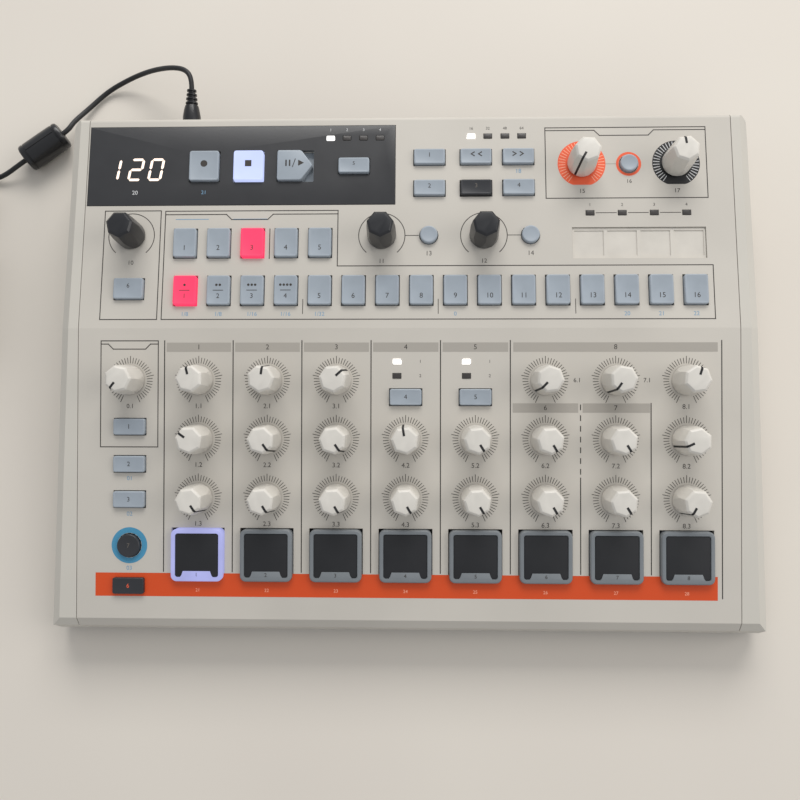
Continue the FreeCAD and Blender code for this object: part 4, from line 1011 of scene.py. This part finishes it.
grey_pad = pad_shape("grey_pad", rim_plastic)
lit_pad = pad_shape("lit_pad", violet_glow)
for index, voice in enumerate(VOICES, start=1):
    place = on_panel("lower", column(index), PAD_ROW)
    pad = copy_to(lit_pad if index == 1 else grey_pad, voice + "_pad_body_look", place)
    text = number(str(index), "lower", column(index), PAD_ROW + 8.3, PAD_PROUD + INK_LIFT, 2.3)
    pad = join([pad, text], voice + "_pad_look")
    stand_for(pad, voice + "_pad")
discard(grey_pad, lit_pad)

# %% [markdown]
# The display window is one dark plate let into the panel, so that its face is nearly flush. The tempo
# digits shine through it as slanted bars with pointed ends.

# %% Display window
WINDOW_LEFT, WINDOW_RIGHT, WINDOW_FRONT, WINDOW_REAR = -142.5, -4.8, 55.5, 92.6
WINDOW_TOP = 0.2


def window_plate():
    wide, deep = WINDOW_RIGHT - WINDOW_LEFT - 0.3, WINDOW_REAR - WINDOW_FRONT - 0.3
    plate = rounded_block("window_blank", wide, deep, -1.2, WINDOW_TOP, 0.25, 0.2, window_plastic, 2)
    middle = ((WINDOW_LEFT + WINDOW_RIGHT) / 2, (WINDOW_FRONT + WINDOW_REAR) / 2)
    settle(plate, on_panel("upper", *middle))
    openings = [
        (RECORD_X, TRANSPORT_ROW, 13.9, 14.6), (STOP_X, TRANSPORT_ROW, 13.9, 14.6),
        (PLAY_X, TRANSPORT_ROW, 16.5, 14.6), (SYNC_X, SYNC_ROW, 14.4, 7.7),
    ]
    openings += [(x, 86.5, 3.9, 2.5) for x in (-33.9, -26.6, -19.2, -11.8)]
    for x, along, wide, deep in openings:
        tool = rounded_block("tool", wide, deep, -3, 3, 0.5, 0.1, window_plastic, 3)
        settle(tool, on_panel("upper", x, along))
        modify(plate, "BOOLEAN", operation="DIFFERENCE", object=tool, solver="EXACT")
        discard(tool)
    return smooth(plate, 30)


window = window_plate()
window.name = "display_window_look"
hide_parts("display_window")
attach(window, "case")

DIGIT_TALL, DIGIT_WIDE, STROKE, SLANT = 9.4, 5.2, 1.15, 0.16
BARS = {
    "top": (0, 1, True), "middle": (0, 0, True), "bottom": (0, -1, True),
    "upper_left": (-1, 0.5, False), "upper_right": (1, 0.5, False),
    "lower_left": (-1, -0.5, False), "lower_right": (1, -0.5, False),
}
LIT_BARS = {
    "1": ["upper_right", "lower_right"],
    "2": ["top", "upper_right", "middle", "lower_left", "bottom"],
    "0": ["top", "upper_left", "upper_right", "lower_left", "lower_right", "bottom"],
}


def digit(text, x):
    """The lit bars of one figure, each a six-cornered stroke that leans a little to the right."""
    pieces = []
    for name in LIT_BARS[text]:
        across, up, level = BARS[name]
        cx, cy = across * DIGIT_WIDE / 2, up * DIGIT_TALL / 2
        half = (DIGIT_WIDE if level else DIGIT_TALL / 2) / 2 - 0.16
        s = STROKE / 2
        if level:
            points = [(cx - half, cy), (cx - half + s, cy - s), (cx + half - s, cy - s),
                      (cx + half, cy), (cx + half - s, cy + s), (cx - half + s, cy + s)]
        else:
            points = [(cx, cy - half), (cx + s, cy - half + s), (cx + s, cy + half - s),
                      (cx, cy + half), (cx - s, cy + half - s), (cx - s, cy - half + s)]
        points = [(px + py * SLANT, py) for px, py in points]
        place = on_panel("upper", x, 72.3, 0, WINDOW_TOP + 0.03)
        pieces.append(flat_shape("segment", points, place, digit_glow))
    return pieces


SEGMENT_PIECES = digit("1", -131.2) + digit("2", -120.9) + digit("0", -111.9)
digits = join(SEGMENT_PIECES, "tempo_digits")
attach(digits, "case")
window_marks = []
for x, text in zip((-33.9, -26.6, -19.2, -11.8), "1234"):
    window_marks.append(number(text, "upper", x, 90.3, WINDOW_TOP + INK_LIFT, 1.8, white_ink))
window_marks.append(number("20", "upper", -121.0, 61.5, WINDOW_TOP + INK_LIFT, 2.6, white_ink))
window_marks.append(number("21", "upper", RECORD_X, 61.5, WINDOW_TOP + INK_LIFT, 2.4, blue_ink))
window_print = join(window_marks, "window_print")
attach(window_print, "case")

# %% [markdown]
# The lamps are small square light guides that come up flush through the panel. A lit one is white and
# the others stay a warm dark grey.

# %% Lamps
LAMPS = [(x, 86.5, "upper") for x in (-33.9, -26.6, -19.2, -11.8)]
LAMPS += [(x, 87.0, "upper") for x in (28.7, 36.1, 43.7, 51.1)]
LAMPS += [(x, 51.3, "upper") for x in (80.4, 94.4, 108.3, 122.3)]
LAMPS += [(x, along, "lower") for x in (-3.8, 26.2) for along in (14.5, 20.7)]
LIT = {(-33.9, 86.5), (28.7, 87.0), (-3.8, 14.5), (26.2, 14.5)}
lamp_pieces = []
for x, along, side in LAMPS:
    material = lit_lens if (x, along) in LIT else dark_lens
    lamp = rounded_block("lamp", 3.6, 2.2, -11.0, 0.3, 0.35, 0.12, material, 2)
    lamp_pieces.append(settle(lamp, on_panel(side, x, along)))
lamps = smooth(join(lamp_pieces, "lamp_lenses_look"), 40)
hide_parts("lamp_lenses")
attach(lamps, "case")

# %% Gather the print by colour
INKS = {
    "dark": dark_ink, "over": dark_ink, "band": band_ink, "blue": blue_ink,
    "white": white_ink, "orange": orange_ink, "coral": coral_ink, "pale_coral": pale_coral_ink,
    "black": black_ink, "ring_blue": ring_blue, "pale": pale_coral_ink,
}
for color, pieces in prints.items():
    for piece in pieces:
        piece.data.materials.clear()
    sheet = join(pieces, "print_" + color)
    sheet.data.materials.clear()
    sheet.data.materials.append(INKS[color])
    if color == "over":
        settle(sheet, Matrix.Translation((0, 0, 0.03 * MM)))
    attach(sheet, "case")
print(len(prints), "colours of print")

# %% [markdown]
# The supply cord leaves the plug at the rear, drops to the table in a wide curve, passes through a ferrite
# bead and is put away outside the picture in a small coil, which ends in the wall adapter. It is one smooth
# NURBS line. The points up to the coil are the CAD's own, and the coil's points come from its winding rule.

# %% Cord
CORD_DIA, INLET_X = 2.4, -104.0
ON_TABLE = CORD_DIA / 2 + 0.1
COIL_CENTRE = Vector((-226.5, 84.0, 0.0))
COIL_MID, COLUMN_STEP, TURN_RISE, TURNS_EACH, SHIFT, LAST = 13.2, 3.1, 3.25, 3.0, 0.5, 0.25
COIL_TURNS = 3 * TURNS_EACH + 2 * SHIFT + LAST
BEAD_START, BEAD_END = Vector((-172.7, 121.5, 6.85)), Vector((-190.7, 108.0, 6.85))
bead_axis = (BEAD_END - BEAD_START).normalized()
ADAPTER_REAR, GLAND_OUT = 62.0, 6.0
plug_place = on_rear(INLET_X, 1.0)
plug_end = plug_place @ Vector((0, 0, 21.0 * MM)) / MM
plug_out = (plug_place.to_3x3() @ Vector((0, 0, 1))).normalized()
LEAD_POINTS = [
    plug_end, plug_end + plug_out * 5.5, plug_end + plug_out * 10.2 + Vector((-3.2, 0, -0.9)),
    Vector((-114.4, 148.3, 21.4)), Vector((-124.4, 151.0, 15.2)), Vector((-133.5, 152.2, 9.4)),
    Vector((-143.0, 151.3, 4.6)), Vector((-153.8, 147.0, ON_TABLE + 0.3)), Vector((-163.0, 136.9, 2.4)),
    Vector((-168.8, 128.4, 5.6)), BEAD_START - bead_axis * 2.5, BEAD_END + bead_axis * 3.0,
    Vector((-202.5, 101.2, 3.6)), Vector((-210.0, 99.9, ON_TABLE + 0.2)),
    Vector((-218.5, 100.7, ON_TABLE)),
]


def coil_point(turns):
    """The cord's middle line after so many turns: three columns of turns, up, down and up."""
    column_now = min(int(turns / (TURNS_EACH + SHIFT)), 2)
    inside = turns - column_now * (TURNS_EACH + SHIFT)
    climbed = min(inside, TURNS_EACH) * TURN_RISE
    height = climbed if column_now != 1 else TURNS_EACH * TURN_RISE - climbed
    radius = COIL_MID + (1 - column_now) * COLUMN_STEP
    if inside > TURNS_EACH and column_now < 2:
        radius -= COLUMN_STEP * (1 - math.cos(math.pi * (inside - TURNS_EACH) / SHIFT)) / 2
    if inside > TURNS_EACH and column_now == 2:
        height += TURN_RISE * (1 - math.cos(math.pi * (inside - TURNS_EACH) / LAST)) / 2
    angle = math.pi / 2 + 2 * math.pi * turns
    return COIL_CENTRE + Vector((radius * math.cos(angle), radius * math.sin(angle), ON_TABLE + height))


coil_points = [coil_point(index / 16) for index in range(round(COIL_TURNS * 16) + 1)]
gland_end = Vector((coil_points[-1].x, ADAPTER_REAR + GLAND_OUT, coil_points[-1].z))


def cord_curve(name, points, diameter):
    curve = bpy.data.curves.new(name, "CURVE")
    curve.dimensions = "3D"
    curve.bevel_depth = diameter / 2 * MM
    curve.bevel_resolution = 5
    curve.use_fill_caps = True
    spline = curve.splines.new("NURBS")
    spline.points.add(len(points) - 1)
    for point, spot in zip(spline.points, points):
        point.co = (*(spot * MM), 1.0)
    spline.order_u = 3
    spline.use_endpoint_u = True
    spline.resolution_u = 6
    piece = bpy.data.objects.new(name, curve)
    bpy.context.scene.collection.objects.link(piece)
    curve.materials.append(cord_rubber)
    return piece


cord = cord_curve("supply_cord", [*LEAD_POINTS, *coil_points, gland_end], CORD_DIA)
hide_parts("dc_lead", "lead_coil")
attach(cord, "case")


# %% [markdown]
# The plug and the bead are moulded in black plastic. The plug tapers to a ribbed sleeve that keeps the cord
# from kinking, and the bead is a clip-on shell with a joint along its side. The adapter is the CAD's own.

# %% Plug and bead
def turned(name, profile, material, steps=40):
    """A body of revolution about z: a side profile spun round, closed at both ends."""
    bpy.ops.mesh.primitive_plane_add(size=1)
    piece = newest(name)
    pick(piece, "VERT", lambda v: v.x > 0 or v.y > 0)
    bpy.ops.mesh.delete(type="VERT")
    done()
    piece.data.vertices[0].co = Vector((profile[0][0], 0, profile[0][1])) * MM
    for (r0, z0), (r1, z1) in zip(profile, profile[1:]):
        here = Vector((r0, 0, z0)) * MM
        pick(piece, "VERT", lambda v: (v - here).length < 1e-7)
        bpy.ops.mesh.extrude_region_move(TRANSFORM_OT_translate={"value": Vector((r1 - r0, 0, z1 - z0)) * MM})
        done()
    pick(piece, "VERT", lambda v: True)
    bpy.ops.mesh.spin(steps=steps, angle=2 * math.pi, center=(0, 0, 0), axis=(0, 0, 1))
    bpy.ops.mesh.select_all(action="SELECT")
    bpy.ops.mesh.remove_doubles(threshold=1e-6)
    bpy.ops.mesh.normals_make_consistent(inside=False)
    done()
    piece.data.materials.append(material)
    return piece


plug_profile = [(0.0, 0.0), (4.0, 0.0), (4.4, 0.5), (4.35, 4.0), (4.2, 8.0), (3.7, 11.0), (3.2, 13.0)]
for rib in range(4):
    z, wide = 13.0 + rib * 2.0, 2.9 - 0.22 * rib
    plug_profile += [(wide - 0.7, z + 0.2), (wide - 0.7, z + 0.8)]
    plug_profile += [(wide, z + 1.0), (wide, z + 1.7), (wide - 0.6, z + 1.9)]
plug_profile += [(1.3, 21.0), (0.0, 21.0)]
plug_body = turned("plug_body", plug_profile, bead_plastic)
barrel = turned("plug_barrel", [(1.2, -7.5), (1.25, -8.0), (2.55, -8.0), (2.7, -7.7), (2.7, 0.1), (1.2, 0.1),
                                (1.2, -7.5)], socket_metal)
plug = settle(smooth(join([plug_body, barrel], "dc_plug_look"), 30), plug_place)
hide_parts("dc_plug")
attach(plug, "case")

BEAD_RADIUS, BORE = 6.75, 1.45
bead_profile = [
    (BORE, 0.0), (5.2, 0.0), (6.2, 0.4), (6.65, 1.2), (6.7, 2.4), (6.45, 2.6), (6.45, 3.0), (6.7, 3.2),
    (6.75, 11.2), (6.7, 19.3), (6.45, 19.5), (6.45, 19.9), (6.7, 20.1), (6.65, 21.3),
    (6.2, 22.1), (5.2, 22.5),
    (BORE, 22.5), (BORE, 0.0),
]
bead_turn = bead_axis.to_track_quat("Z", "Y").to_matrix().to_4x4()
bead = turned("bead_shell", bead_profile, bead_plastic, 48)
seam = rounded_block("seam", 0.35, 0.5, 3.4, 19.1, 0.1, 0.05, black_ink, 1)
settle(seam, Matrix.Translation((0, BEAD_RADIUS * MM, 0)))
bead = smooth(join([bead, seam], "ferrite_bead_look"), 30)
settle(bead, Matrix.Translation(BEAD_START * MM) @ bead_turn)
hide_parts("ferrite_bead")
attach(bead, "case")

# %% [markdown]
# The machine lies on a pale table and is seen from above. The daylight comes from a wide window beyond the
# rear edge, so knobs shade the panel in front of them, and the front bevel is the darkest face.

# %% Table
bpy.ops.mesh.primitive_plane_add(size=3.0, location=(0, 0, -0.0002))
table = newest("table")
settle(table, Matrix.Identity(4))
table_finish = Finish("table_top", (222, 215, 204), 0.6)
table_cloud = table_finish.noise(180, 2)
table_finish.paint(table_finish.mix((table_cloud * 1.6 - 0.3).kept(), table_finish.rgb((214, 206, 196)),
                                    table_finish.color))
table.data.materials.append(table_finish.material)

# %% Daylight
scene = bpy.context.scene
world = bpy.data.worlds.new("room")
scene.world = world
world.use_nodes = True
world.node_tree.nodes["Background"].inputs["Color"].default_value = (0.93, 0.96, 1.0, 1.0)
world.node_tree.nodes["Background"].inputs["Strength"].default_value = 0.52


def window_light(name, place, target, wide, tall, watts, color):
    lamp = bpy.data.lights.new(name, "AREA")
    lamp.shape = "RECTANGLE"
    lamp.size, lamp.size_y = wide, tall
    lamp.energy = watts
    lamp.color = color
    holder = bpy.data.objects.new(name, lamp)
    scene.collection.objects.link(holder)
    direction = Vector(target) - Vector(place)
    holder.matrix_world = Matrix.Translation(place) @ direction.to_track_quat("-Z", "Y").to_matrix().to_4x4()
    return holder


window_light("rear_window", (0.15, 1.5, 1.25), (0, 0, 0), 1.5, 0.9, 26.0, (1.0, 0.985, 0.96))
window_light("right_wall", (1.3, 0.1, 1.0), (0, 0, 0), 1.0, 1.0, 6.0, (1.0, 0.97, 0.93))

# %% [markdown]
# The camera was found by fitting 76 places on the controls and the case to the photograph. It hangs over the
# front half, looks almost straight down and leans a little towards the rear.

# %% Camera
camera_data = bpy.data.cameras.new("camera")
camera_data.sensor_width = 36.0
camera_data.lens = 36.88
camera = bpy.data.objects.new("camera", camera_data)
scene.collection.objects.link(camera)
lean = Euler([math.radians(angle) for angle in (8.728, 1.607, 0.323)], "XYZ")
camera.matrix_world = Matrix.Translation(Vector((7.66, -71.48, 387.63)) * MM) @ lean.to_matrix().to_4x4()
scene.camera = camera
scene.render.resolution_x = scene.render.resolution_y = 800
scene.view_settings.view_transform = "Standard"
